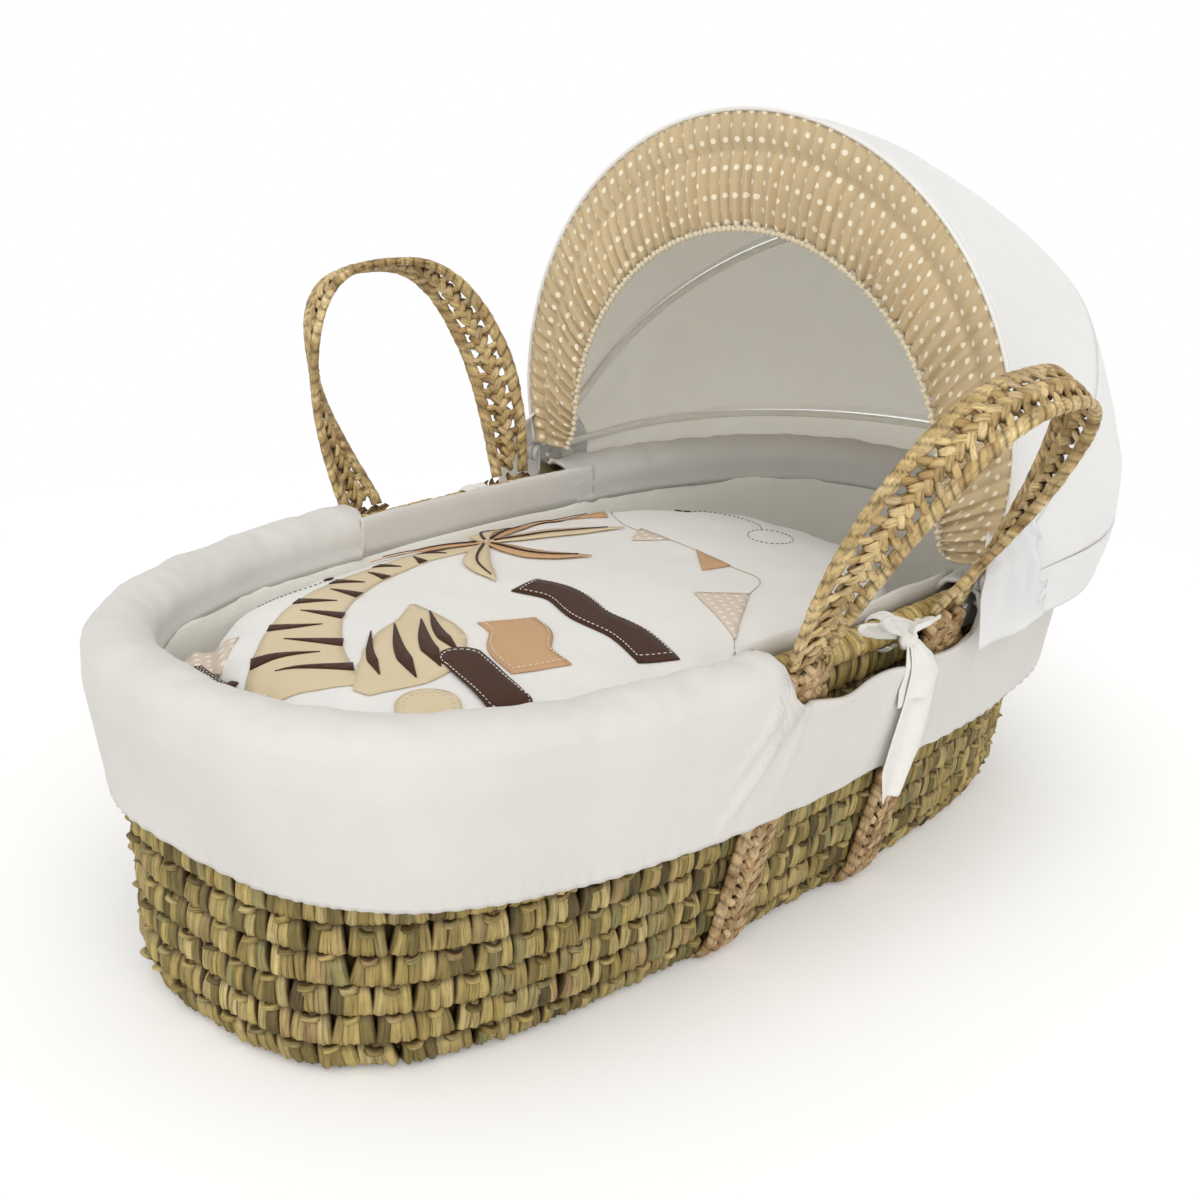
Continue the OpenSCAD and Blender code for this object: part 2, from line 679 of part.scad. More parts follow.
// a cord of diameter d along a line in the hood's mouth
module mouth_cord(line, d) {
    n = len(line);
    translate([frill_x + frill_t / 2, 0, hood_z])
        rows_solid([for (i = [0:n - 1])
            let (e = line[min(n - 1, i + 1)] - line[max(0, i - 1)], u = e / norm(e))
            [for (k = [0:5]) let (q = -60 * k)
                [d / 2 * sin(q),
                 line[i][0] + u[1] * d / 2 * cos(q),
                 line[i][1] - u[0] * d / 2 * cos(q)]]]);
}

// diameters of the piping round the hood and of the elastic in the edge of its mouth
trim_d = 3;
edge_d = 4;
module hood_piping() {
    g = trim_d / 2 + 0.2;
    color("#f6f4ee") mouth_cord(
        arch(front_foot + cloth_out + g, hood_r + g, hood_h + g, frill_start), trim_d);
}

module frill_elastic() {
    g = edge_d / 2 + 0.2;
    color("#e6dcc0") mouth_cord(arch(mouth_foot - g, hood_r - frill_w * frill_side - g,
        hood_h - frill_w - g, frill_start), edge_d);
}

// ---- all pieces -------------------------------------------------------------------

base_panel();
for (i = [1:courses]) wall_course(i);
rim_core();
rim_wrap();
strap(-strap_x);  // strap_foot
strap(strap_x);  // strap_head
handle(-1, handle_right_h, handle_right_lean, handle_right_pull);  // handle_right
handle(1, handle_left_h, handle_left_lean, handle_left_pull);  // handle_left
lashing(-strap_x, -1);  // lashing_right_foot
lashing(strap_x, -1);  // lashing_right_head
lashing(-strap_x, 1);  // lashing_left_foot
lashing(strap_x, 1);  // lashing_left_head
mattress_foam();
mattress_cover();
bumper_wadding();
bumper_cover();
roll_foot();
roll_head();
liner_edge_right();
liner_edge_left();
skirt();
skirt_elastic();
tie_right();
tie_left();
coverlet_wadding();
coverlet_cover();
hood_bracket_right();
hood_bracket_left();
hood_rivet_right();
hood_rivet_left();
bracket_screws();
hoop_front();
hoop_middle();
hoop_back();
canopy_front();
canopy_rear();
canopy_valance();
frill();
frill_elastic();
hood_piping();
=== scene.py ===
import math
import bmesh
import bpy
import numpy as np
from mathutils import Matrix, Vector, noise
from mathutils.bvhtree import BVHTree


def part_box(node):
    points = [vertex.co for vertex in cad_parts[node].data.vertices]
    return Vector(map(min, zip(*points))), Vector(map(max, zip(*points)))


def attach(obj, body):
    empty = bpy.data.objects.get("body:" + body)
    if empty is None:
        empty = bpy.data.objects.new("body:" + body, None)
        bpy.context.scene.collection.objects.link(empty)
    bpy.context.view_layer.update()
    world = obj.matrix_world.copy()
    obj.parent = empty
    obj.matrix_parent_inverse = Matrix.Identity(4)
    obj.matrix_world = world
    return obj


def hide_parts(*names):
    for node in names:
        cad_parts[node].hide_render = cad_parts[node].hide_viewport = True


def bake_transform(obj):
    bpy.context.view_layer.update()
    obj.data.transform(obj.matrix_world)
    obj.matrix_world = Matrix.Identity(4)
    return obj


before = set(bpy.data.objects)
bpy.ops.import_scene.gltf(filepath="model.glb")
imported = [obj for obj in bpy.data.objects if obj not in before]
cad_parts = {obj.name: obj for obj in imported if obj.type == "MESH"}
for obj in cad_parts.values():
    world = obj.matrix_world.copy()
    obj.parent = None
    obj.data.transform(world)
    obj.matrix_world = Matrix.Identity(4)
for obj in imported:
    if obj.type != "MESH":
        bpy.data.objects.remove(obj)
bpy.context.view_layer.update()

# ---- where it is seen from -----------------------------------------------------------
# Three quarters from the foot end, a little above the rim, with the camera rolled slightly.
eye = Vector((-0.96141, -0.82093, 0.63449))
yaw, pitch, roll = (math.radians(a) for a in (41.65, 19.18, 3.0))
ahead = Vector((math.cos(pitch) * math.cos(yaw), math.cos(pitch) * math.sin(yaw), -math.sin(pitch)))
level = Vector((math.sin(yaw), -math.cos(yaw), 0))
upright = level.cross(ahead)
across = math.cos(roll) * level + math.sin(roll) * upright
up = -math.sin(roll) * level + math.cos(roll) * upright
camera = bpy.data.objects.new("camera", bpy.data.cameras.new("camera"))
camera.data.lens = 54.57
camera.data.sensor_width = 36
turned = Matrix((across, up, -ahead)).transposed().to_4x4()
turned.translation = eye
camera.matrix_world = turned
bpy.context.collection.objects.link(camera)
bpy.context.scene.camera = camera
bpy.context.scene.view_settings.view_transform = "Standard"

# ---- the room ------------------------------------------------------------------------
# A pale floor that fades out into white surroundings, an even white sky and two soft lamps,
# so that a colour comes out about as it is mixed.


def material(name, rough=0.8, **sockets):
    made = bpy.data.materials.new(name)
    made.use_nodes = True
    shader = made.node_tree.nodes["Principled BSDF"]
    shader.inputs["Roughness"].default_value = rough
    for label, value in sockets.items():
        shader.inputs[label.replace("_", " ")].default_value = value
    return made, made.node_tree, shader


def node(tree, kind, inputs=(), **settings):
    """a shader or geometry node: settings are its own properties, inputs are values or sockets"""
    made = tree.nodes.new(kind)
    for label, value in settings.items():
        setattr(made, label, value)
    for key, value in dict(inputs).items():
        if isinstance(value, bpy.types.NodeSocket):
            tree.links.new(value, made.inputs[key])
        else:
            made.inputs[key].default_value = value
    return made


def ramp(tree, factor, stops):
    made = node(tree, "ShaderNodeValToRGB", {"Fac": factor})
    colours = made.color_ramp.elements
    while len(colours) < len(stops):
        colours.new(0.5)
    for stop, (place, colour) in zip(colours, stops):
        stop.position = place
        stop.color = (*colour, 1)
    return made.outputs["Color"]


def maths(tree, kind, a, b):
    return node(tree, "ShaderNodeMath", {0: a, 1: b}, operation=kind).outputs[0]


def vectors(tree, kind, *inputs):
    return node(tree, "ShaderNodeVectorMath", dict(enumerate(inputs)), operation=kind).outputs


def mix(tree, share, under, over, kind="MIX"):
    """two colours mixed; kind says how"""
    made = node(tree, "ShaderNodeMix", {0: share, 6: under, 7: over}, data_type="RGBA", blend_type=kind)
    return made.outputs[2]


def place_on(tree, *stretch):
    """where a point lies on the object, stretched by three factors if they are given"""
    spot = node(tree, "ShaderNodeTexCoord").outputs["Object"]
    return node(tree, "ShaderNodeMapping", {"Vector": spot, "Scale": stretch}).outputs[0] if stretch else spot


def speckle(tree, spot, scale, **more):
    return node(tree, "ShaderNodeTexNoise", {"Vector": spot, "Scale": scale, **more}).outputs["Fac"]


def colour_from(tree, shader, colour):
    tree.links.new(colour, shader.inputs["Base Color"])


def bump_from(tree, shader, height, strength, distance):
    bump = node(tree, "ShaderNodeBump", {"Height": height, "Strength": strength, "Distance": distance})
    tree.links.new(bump.outputs[0], shader.inputs["Normal"])


floor_half, floor_glow = 3.0, 0.16
fade_near, fade_far = 0.60, 1.15
floor_mesh = bpy.data.meshes.new("floor")
floor_mesh.from_pydata([(x * floor_half, y * floor_half, -0.0005)
                        for x, y in ((-1, -1), (1, -1), (1, 1), (-1, 1))],
                       [], [(0, 1, 2, 3)])
floor = bpy.data.objects.new("floor", floor_mesh)
bpy.context.collection.objects.link(floor)
paint, tree, shader = material("floor_white", 0.9, Specular_IOR_Level=0.1)
shader.inputs["Base Color"].default_value = (0.93, 0.93, 0.93, 1)
distance = vectors(tree, "LENGTH", place_on(tree))["Value"]
fade = node(tree, "ShaderNodeMapRange", {"Value": distance, "From Min": fade_near, "From Max": fade_far},
            interpolation_type="SMOOTHSTEP").outputs["Result"]
clear = node(tree, "ShaderNodeBsdfTransparent")
in_view = node(tree, "ShaderNodeLightPath").outputs["Is Camera Ray"]
lift_white = maths(tree, "MULTIPLY", in_view, floor_glow)
glow = node(tree, "ShaderNodeEmission", {"Color": (1, 1, 1, 1), "Strength": lift_white})
lit = node(tree, "ShaderNodeAddShader", {0: shader.outputs[0], 1: glow.outputs[0]})
mixed = node(tree, "ShaderNodeMixShader", {0: fade, 1: lit.outputs[0], 2: clear.outputs[0]})
tree.links.new(mixed.outputs[0], tree.nodes["Material Output"].inputs[0])
floor_mesh.materials.append(paint)

world = bpy.data.worlds.new("white_room")
world.use_nodes = True
bpy.context.scene.world = world
sky = world.node_tree
seen = node(sky, "ShaderNodeLightPath")
either = maths(sky, "MAXIMUM", seen.outputs["Is Camera Ray"], seen.outputs["Is Glossy Ray"])
every = maths(sky, "MAXIMUM", either, seen.outputs["Is Transmission Ray"])
white = node(sky, "ShaderNodeBackground", {"Color": (1, 1, 1, 1), "Strength": 1.0})
light = node(sky, "ShaderNodeBackground", {"Color": (1, 0.99, 0.97, 1), "Strength": 0.70})
chosen = node(sky, "ShaderNodeMixShader", {0: every, 1: light.outputs[0], 2: white.outputs[0]})
sky.links.new(chosen.outputs[0], sky.nodes["World Output"].inputs[0])

for name, power, width, tilt, turn in (("key", 0.55, 50, 30, -60), ("fill", 0.40, 70, 62, -35),
                                       ("low_fill", 0.85, 110, 86, -50)):
    lamp = bpy.data.lights.new(name, "SUN")
    lamp.energy = power
    lamp.angle = math.radians(width)
    hung = bpy.data.objects.new(name, lamp)
    hung.rotation_euler = (math.radians(tilt), 0, math.radians(turn))
    bpy.context.collection.objects.link(hung)

# ---- woven wall ----------------------------------------------------------------------
# Ten courses of palm leaf. Each is a coil wrapped in upright folded leaves, in fanned bundles; a
# knot over each bundle binds it to the course above and leaves a dark gap beside it.
leaf_tones = ((0.0, (0.11, 0.08, 0.028)), (0.12, (0.21, 0.165, 0.055)), (0.32, (0.36, 0.275, 0.095)),
              (0.54, (0.47, 0.365, 0.145)), (0.72, (0.57, 0.46, 0.215)), (0.83, (0.29, 0.265, 0.11)),
              (0.92, (0.43, 0.295, 0.145)), (1.0, (0.52, 0.42, 0.15)))


def leaf_material(name, tones, streaks, shine):
    """dried leaf: a tone for each strip, fine streaks along it, and painted shade from the crease attribute
    in its folds and gaps
    """
    made, tree, shader = material(name, 0.55, Specular_IOR_Level=shine)
    tone = node(tree, "ShaderNodeAttribute", attribute_name="tone").outputs["Fac"]
    crease = node(tree, "ShaderNodeAttribute", attribute_name="crease").outputs["Fac"]
    strip = node(tree, "ShaderNodeUVMap", uv_map="strip").outputs["UV"]
    shift = node(tree, "ShaderNodeCombineXYZ", {
        "X": maths(tree, "MULTIPLY", tone, 91.0), "Z": maths(tree, "MULTIPLY", tone, 57.0)}).outputs[0]
    along = vectors(tree, "MULTIPLY_ADD", strip, (streaks, 0.8, 1), shift)[0]
    fine = speckle(tree, along, 1.0, Detail=4.0, Roughness=0.65)
    blotch = speckle(tree, place_on(tree), 60.0, Detail=2.0)
    light = ramp(tree, fine,
                 ((0.30, (0.36, 0.32, 0.26)), (0.5, (0.95, 0.95, 0.92)), (0.7, (1.3, 1.27, 1.18))))
    streaked = mix(tree, 1.0, ramp(tree, tone, tones), light, "MULTIPLY")
    spots = ramp(tree, blotch, ((0.35, (0.62, 0.58, 0.5)), (0.6, (1.08, 1.06, 1.0))))
    aged = mix(tree, 0.5, streaked, spots, "MULTIPLY")
    # painted shade: the crease attribute mixes the colour towards a deep brown in folds and gaps
    deep = maths(tree, "POWER", crease, 1.6)
    colour_from(tree, shader, mix(tree, deep, aged, (0.055, 0.032, 0.012, 1)))
    bump_from(tree, shader, fine, 0.5, 0.0008)
    return made


palm_leaf = leaf_material("palm_leaf", leaf_tones, 7.0, 0.35)
# the same leaf in painted shade, for the coil that shows only in the gaps between the leaves
shade_tones = ((0.0, (0.05, 0.03, 0.012)), (1.0, (0.10, 0.065, 0.026)))
painted_shade_leaf = leaf_material("leaf_in_shade", shade_tones, 7.0, 0.1)


def mesh_piece(name, points, faces, paint, strip=None, tone=None, crease=None, tidy=True):
    """a smooth mesh from arrays; strip, tone and crease are given per point; crease is painted shade"""
    mesh = bpy.data.meshes.new(name)
    mesh.from_pydata(np.asarray(points, float).tolist(), [], faces)
    if strip is not None:
        layer = mesh.uv_layers.new(name="strip")
        corner = np.empty(len(mesh.loops), int)
        mesh.loops.foreach_get("vertex_index", corner)
        layer.data.foreach_set("uv", np.asarray(strip, float)[corner].ravel())
    for label, values in (("tone", tone), ("crease", crease)):
        if values is not None:
            per_point = mesh.attributes.new(label, "FLOAT", "POINT")
            per_point.data.foreach_set("value", np.asarray(values, np.float32))
    if tidy:
        work = bmesh.new()
        work.from_mesh(mesh)
        bmesh.ops.recalc_face_normals(work, faces=work.faces)
        work.to_mesh(mesh)
        work.free()
    mesh.polygons.foreach_set("use_smooth", [True] * len(mesh.polygons))
    if paint is not None:
        mesh.materials.append(paint)
    made = bpy.data.objects.new(name, mesh)
    bpy.context.collection.objects.link(made)
    return made


def grid_faces(rows, columns, around=False, start=0):
    """quads of a grid of points, rows joined to rows; around closes each row"""
    last = columns if around else columns - 1
    return [(start + i * columns + j, start + i * columns + (j + 1) % columns,
             start + (i + 1) * columns + (j + 1) % columns, start + (i + 1) * columns + j)
            for i in range(rows - 1) for j in range(last)]


def tube_faces(rows, columns):
    """quads of a grid that is closed both ways"""
    return [tuple(v % (rows * columns) for v in f) for f in grid_faces(rows + 1, columns, True)]


rim_height = 0.222
course_height = 0.0212
course_count = 10


def wall(z, off=0.0):
    """half length, half width and roundness of the basket's outer face at height z"""
    part = z / rim_height
    return 0.386 + 0.012 * part + off, 0.157 + 0.047 * part + off, 3.3 - 0.5 * part


def oval(half_length, half_width, roundness, count):
    """count points evenly round the outline, the way along and the way out at each"""
    turn = np.linspace(0, 2 * np.pi, 6001)
    x = half_length * np.sign(np.cos(turn)) * np.abs(np.cos(turn)) ** (2 / roundness)
    y = half_width * np.sign(np.sin(turn)) * np.abs(np.sin(turn)) ** (2 / roundness)
    far = np.concatenate([[0], np.cumsum(np.hypot(np.diff(x), np.diff(y)))])
    even = np.linspace(0, far[-1], count, endpoint=False)
    x, y = np.interp(even, far, x), np.interp(even, far, y)
    along = np.stack([np.roll(x, -1) - np.roll(x, 1), np.roll(y, -1) - np.roll(y, 1)], 1)
    along /= np.linalg.norm(along, axis=1)[:, None]
    return np.stack([x, y], 1), along, np.stack([along[:, 1], -along[:, 0]], 1), far[-1]


def leaf_unit(name, ridges, taper, waist, bulge, nx, nz):
    """one folded leaf, 1 wide and 1 high, facing +Y: a closed shell with a ridged, rounded front"""
    points, strip, crease = [], [], []
    heights = (0, 0.03, 0.10, 0.30, 0.62, 0.86, 1)
    proud = (-0.0026, 0.0002, 0.0016, 0.0026, 0.0020, -0.0004, -0.0042)
    for i in range(nz):
        v = i / (nz - 1)
        hang = np.interp(v, heights, proud)
        half = 0.5 * (1 + taper * (v - 0.5)) * (1 - waist * math.sin(math.pi * v) ** 2)
        for j in range(nx):
            u = j / (nx - 1) * 2 - 1
            fold = 0.0005 * math.cos(ridges * math.pi * u)
            points.append((u * half, hang + bulge * (1 - u * u) + fold, v))
            strip.append((0.5 + u / 2, v))
            # painted shade: darker at the leaf's folded edges, at its foot and at its top, which goes under
            # the course above
            edge = abs(u) ** 5
            ends = max(0.0, 1 - v / 0.06) * 0.8 + max(0.0, (v - 0.74) / 0.2)
            crease.append(min(1.0, 0.9 * edge + ends))
    faces = grid_faces(nz, nx)
    rim = ([j for j in range(nx)] + [i * nx + nx - 1 for i in range(1, nz)]
           + [(nz - 1) * nx + j for j in range(nx - 2, -1, -1)] + [i * nx for i in range(nz - 2, 0, -1)])
    back = len(points)
    points += [(points[k][0] * 0.9, -0.006, points[k][2]) for k in rim]
    strip += [strip[k] for k in rim]
    # the back and sides of the shell are painted fully in shade
    crease += [1.0] * len(rim)
    m = len(rim)
    faces += [(rim[(k + 1) % m], rim[k], back + k, back + (k + 1) % m) for k in range(m)]
    faces.append(tuple(range(back + m - 1, back - 1, -1)))
    made = mesh_piece(name, points, faces, None, strip, None, crease)
    made.hide_render = True
    return made


def standing_tree(name, units, paint):
    """Geometry Nodes: one of the units stands on each point, turned as the point says"""
    tree = bpy.data.node_groups.new(name, "GeometryNodeTree")
    face = tree.interface
    face.new_socket("Geometry", in_out="INPUT", socket_type="NodeSocketGeometry")
    for label, value in (("Width", 0.0115), ("Height", 0.029), ("Depth", 1.0), ("Uneven", 0.2),
                         ("Lean", 6.0)):
        face.new_socket(label, in_out="INPUT", socket_type="NodeSocketFloat").default_value = value
    face.new_socket("Seed", in_out="INPUT", socket_type="NodeSocketInt").default_value = 3
    face.new_socket("Geometry", in_out="OUTPUT", socket_type="NodeSocketGeometry")
    given = node(tree, "NodeGroupInput").outputs
    picks = node(tree, "GeometryNodeJoinGeometry")
    for unit in units:
        info = node(tree, "GeometryNodeObjectInfo", {"Object": unit, "As Instance": True})
        tree.links.new(info.outputs["Geometry"], picks.inputs[0])

    def vary(step, low, high, kind="FLOAT"):
        seed = maths(tree, "ADD", given["Seed"], float(step))
        lowest, highest, value = {"FLOAT": (2, 3, 1), "INT": (4, 5, 2)}[kind]
        sockets = {lowest: low, highest: high, "Seed": seed}
        return node(tree, "FunctionNodeRandomValue", sockets, data_type=kind).outputs[value]

    low, high = maths(tree, "SUBTRACT", 1.0, given["Uneven"]), maths(tree, "ADD", 1.0, given["Uneven"])
    size = node(tree, "ShaderNodeCombineXYZ", {
        "X": maths(tree, "MULTIPLY", given["Width"], vary(1, low, high)),
        "Y": maths(tree, "MULTIPLY", given["Depth"], vary(2, 0.75, 1.35)),
        "Z": maths(tree, "MULTIPLY", given["Height"], vary(3, 0.96, 1.05))}).outputs[0]
    turn = node(tree, "GeometryNodeInputNamedAttribute", {"Name": "turn"},
                data_type="FLOAT_VECTOR").outputs[0]
    stood = node(tree, "GeometryNodeInstanceOnPoints", {
        "Points": given["Geometry"], "Instance": picks.outputs[0], "Pick Instance": True,
        "Instance Index": vary(4, 0, len(units) - 1, "INT"), "Rotation": turn, "Scale": size}).outputs[0]
    lean = maths(tree, "MULTIPLY", maths(tree, "RADIANS", given["Lean"], 0.0), vary(5, -1.0, 1.0))
    leant = node(tree, "GeometryNodeRotateInstances", {
        "Instances": stood, "Rotation": node(tree, "ShaderNodeCombineXYZ", {"Y": lean}).outputs[0],
        "Local Space": True}).outputs[0]
    named = node(tree, "GeometryNodeStoreNamedAttribute", {
        "Geometry": leant, "Name": "tone", "Value": vary(6, 0.0, 1.0)}, domain="INSTANCE", data_type="FLOAT")
    real = node(tree, "GeometryNodeRealizeInstances", {"Geometry": named.outputs[0]})
    painted = node(tree, "GeometryNodeSetMaterial", {"Geometry": real.outputs[0], "Material": paint})
    tree.links.new(painted.outputs[0], node(tree, "NodeGroupOutput").inputs[0])
    return tree


def stand(name, places, turns, tree, **sizes):
    """runs the tree on the places and turns the result into a plain mesh"""
    mesh = bpy.data.meshes.new(name + "_places")
    mesh.from_pydata(places, [], [])
    mesh.attributes.new("turn", "FLOAT_VECTOR", "POINT").data.foreach_set("vector", np.ravel(turns))
    holder = bpy.data.objects.new(name + "_places", mesh)
    bpy.context.collection.objects.link(holder)
    modifier = holder.modifiers.new("stand", "NODES")
    modifier.node_group = tree
    for socket in tree.interface.items_tree:
        if socket.in_out == "INPUT" and socket.name in sizes:
            modifier[socket.identifier] = sizes[socket.name]
    graph = bpy.context.evaluated_depsgraph_get()
    made = bpy.data.objects.new(name, bpy.data.meshes.new_from_object(holder.evaluated_get(graph)))
    made.data.polygons.foreach_set("use_smooth", [True] * len(made.data.polygons))
    bpy.data.objects.remove(holder)
    bpy.context.collection.objects.link(made)
    return made


leaves = [leaf_unit("leaf_plain", 2, -0.10, 0.0, 0.0018, 7, 8),
          leaf_unit("leaf_wide", 3, -0.25, 0.0, 0.0021, 7, 8),
          leaf_unit("leaf_fan", 3, -0.50, 0.0, 0.0017, 7, 8),
          leaf_unit("leaf_split", 1, 0.10, 0.1, 0.0023, 7, 8)]
knots = [leaf_unit("knot_a", 1, 0.0, 0.25, 0.0022, 5, 7), leaf_unit("knot_b", 2, 0.3, 0.35, 0.0026, 5, 7)]
leaf_tree = standing_tree("upright_leaves", leaves, palm_leaf)
knot_tree = standing_tree("binding_knots", knots, palm_leaf)
knot_pitch, knot_back, knot_out, knot_drop, knot_stray = 0.0245, 0.0066, 0.0014, 0.0016, 0.0014
leaf_width, leaf_overlap = 0.0093, 1.13
seat, foot_tuck, foot_clear = -0.0035, 0.0075, 0.0022


def facing(rise, along):
    """the turn of a leaf that rises this way on a wall that runs this way"""
    side = -Vector((*along, 0))
    face = rise.cross(side).normalized()
    return Matrix((face.cross(rise), face, rise)).transposed().to_euler()


knot_places, knot_turns = [], []
for course in range(1, course_count + 1):
    z0, z1 = (course - 1) * course_height, course * course_height
    bundles = round(oval(*wall(z0, seat), 10)[3] / knot_pitch)
    low, along, out, _ = oval(*wall(z0, seat - (foot_tuck if course == 1 else 0)), 6 * bundles)
    high = oval(*wall(z1, seat), 6 * bundles)[0]
    chance = np.random.default_rng(course)
    places, turns = [], []
    for k in range(bundles):
        tied = 6 * k + 3 * (course % 2)
        for step in (-2, 0, 2):
            at = (tied + step) % (6 * bundles)
            top = high[at] * 0.75 + high[tied] * 0.25 + (high[at]
                                                         - high[tied]) * 0.3 * (chance.random() - 0.4)
            foot = Vector((*low[at], z0 + (foot_clear if course == 1 else 0.0002)))
            rise = (Vector((*top, z1)) - foot).normalized()
            places.append(foot)
            turns.append(facing(rise, along[at]))
        if course < course_count:
            spot = high[tied] - along[tied] * knot_back + out[tied] * knot_out
            knot_places.append(Vector((*spot, z1 - knot_drop + knot_stray * (chance.random() - 0.5))))
            ahead_way, face = Vector((*along[tied], 0)), Vector((*out[tied], 0))
            knot_turns.append(Matrix((face.cross(ahead_way), face, ahead_way)).transposed().to_euler())
    woven = stand(f"woven_course_{course}", places, turns, leaf_tree, Seed=course * 17,
                  Height=course_height * leaf_overlap, Width=leaf_width, Lean=3.5, Uneven=0.18)
    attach(woven, "basket")
    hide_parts(f"wall_course_{course}")
binding = stand("course_bindings", knot_places, knot_turns, knot_tree, Width=0.0054, Height=0.0124, Lean=18.0,
                Uneven=0.25)
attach(binding, "basket")

# The coil core is painted in shade colours: it is seen only in the gaps between the leaves.
core_count, core_low, core_high, core_front, core_back = 260, 0.014, 0.212, -0.0095, -0.0138
rows = []
for start, end, face in ((core_low, core_high, core_front), (core_high, core_low, core_back)):
    for z in np.linspace(start, end, 9):
        rows.append(np.column_stack([oval(*wall(z, face), core_count)[0], np.full(core_count, z)]))
strip = [np.column_stack([np.arange(core_count) / 4.0, np.full(core_count, i / 3.0)])
         for i in range(len(rows))]
core = mesh_piece("coil_core", np.concatenate(rows), tube_faces(len(rows), core_count), painted_shade_leaf,
                  np.concatenate(strip), np.tile(np.random.default_rng(5).random(core_count), len(rows)),
                  np.zeros(len(rows) * core_count))
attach(core, "basket")
for unit in leaves + knots:
    bpy.data.objects.remove(unit)

# ---- base ----------------------------------------------------------------------------
# The oval base is plaited flat from the same leaf, in a checked pattern.
base_leaf, tree, shader = material("plaited_base", 0.7)
check = node(tree, "ShaderNodeTexChecker", {"Vector": place_on(tree), "Scale": 60.0}).outputs["Fac"]
fibre = ramp(tree, speckle(tree, place_on(tree, 900, 60, 60), 1.0),
             ((0.3, (0.5, 0.45, 0.4)), (0.7, (1.1, 1.1, 1.0))))
shade = mix(tree, check, (0.40, 0.30, 0.13, 1), (0.52, 0.41, 0.20, 1))
colour_from(tree, shader, mix(tree, 0.6, shade, fibre, "MULTIPLY"))
bump_from(tree, shader, check, 0.6, 0.002)


def repaint(name, paint):
    """gives a node that keeps its own shape a better material"""
    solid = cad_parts[name]
    if not solid.material_slots:
        solid.data.materials.append(paint)
    for held in solid.material_slots:
        held.material = paint


repaint("base_panel", base_leaf)
repaint("rim_core", base_leaf)

# ---- rim -----------------------------------------------------------------------------
# A rattan hoop wound closely with golden palm leaf; it shows where the liner is cut away.
rim_roll = 0.0095
rim_inset = -0.006
rim_steps, rim_sides, rim_turn = 1100, 14, 0.0098
centre, along, out, rim_length = oval(*wall(rim_height, rim_inset), rim_steps)
way = np.arange(rim_steps)[:, None] * rim_length / rim_steps
turns_round = round(rim_length / rim_turn)
swing = np.linspace(0, 2 * np.pi, rim_sides, endpoint=False)[None, :]
phase = way / rim_length * turns_round + 0.35 * np.sin(swing) + 0.2 * np.cos(swing)
groove = np.abs(np.cos(np.pi * phase)) ** 8
wound = np.floor(phase + 0.5).astype(int) % turns_round
chance = np.random.default_rng(11)
radius = rim_roll * (1 - 0.09 * groove) + (chance.random(turns_round) * 0.0009)[wound]
points = np.stack([centre[:, None, 0] + out[:, None, 0] * radius * np.cos(swing),
                   centre[:, None, 1] + out[:, None, 1] * radius * np.cos(swing),
                   rim_height + radius * np.sin(swing) + 0 * way], 2).reshape(-1, 3)
golden_tones = ((0.0, (0.42, 0.30, 0.10)), (0.5, (0.62, 0.47, 0.19)), (1.0, (0.70, 0.56, 0.28)))
golden = leaf_material("golden_palm", golden_tones, 5.0, 0.35)
# painted shade: the crease attribute darkens the grooves between the winds
rim = mesh_piece("rim_winding", points, tube_faces(rim_steps, rim_sides), golden,
                 np.stack([phase + 0 * swing, np.abs(np.sin(swing / 2)) * 3 + 0 * phase], 2).reshape(-1, 2),
                 chance.random(turns_round)[wound].ravel(), (groove * 0.8).ravel())
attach(rim, "basket")
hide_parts("rim_wrap")

# ---- plaited straps and handles ------------------------------------------------------
# Bands plaited from twisted leaf: a bound cord along each edge, a braid in the middle and short
# strands between them, which leave two rows of small holes.
band_half = 0.020
plait_tones = ((0.0, (0.34, 0.22, 0.09)), (0.3, (0.50, 0.36, 0.17)), (0.6, (0.62, 0.46, 0.23)),
               (0.85, (0.70, 0.55, 0.30)), (1.0, (0.55, 0.40, 0.26)))
strap_tones = ((0.0, (0.30, 0.18, 0.08)), (0.4, (0.50, 0.34, 0.18)), (0.8, (0.62, 0.45, 0.27)),
               (1.0, (0.68, 0.53, 0.33)))
plait_leaf = leaf_material("plaited_leaf", plait_tones, 5.0, 0.3)
strap_leaf = leaf_material("strap_leaf", strap_tones, 5.0, 0.25)


class Strands:
    """collects bent leaf strands; a strand is a row of rings of points"""

    def __init__(self):
        self.points, self.faces, self.strip, self.tone, self.crease, self.count = [], [], [], [], [], 0

    def add(self, rings, tone, crease, length):
        k, m, _ = rings.shape
        self.faces += grid_faces(k, m, True, self.count)
        self.faces += [tuple(self.count + j for j in range(m)),
                       tuple(self.count + (k - 1) * m + j for j in range(m))]
        self.points.append(rings.reshape(-1, 3))
        u = np.abs(np.linspace(-1, 1, m, endpoint=False))
        self.strip.append(np.stack(np.broadcast_arrays(u[None, :], np.linspace(0, length, k)[:, None]),
                                   2).reshape(-1, 2))
        self.tone.append(np.broadcast_to(np.asarray(tone, float), (k, m)).ravel())
        self.crease.append(np.broadcast_to(np.asarray(crease, float), (k, m)).ravel())
        self.count += k * m

    def piece(self, name, paint, place=None):
        points = np.concatenate(self.points)
        if place is not None:
            points = place(points)
        return mesh_piece(name, points, self.faces, paint, np.concatenate(self.strip),
                          np.concatenate(self.tone),
                          np.concatenate(self.crease))


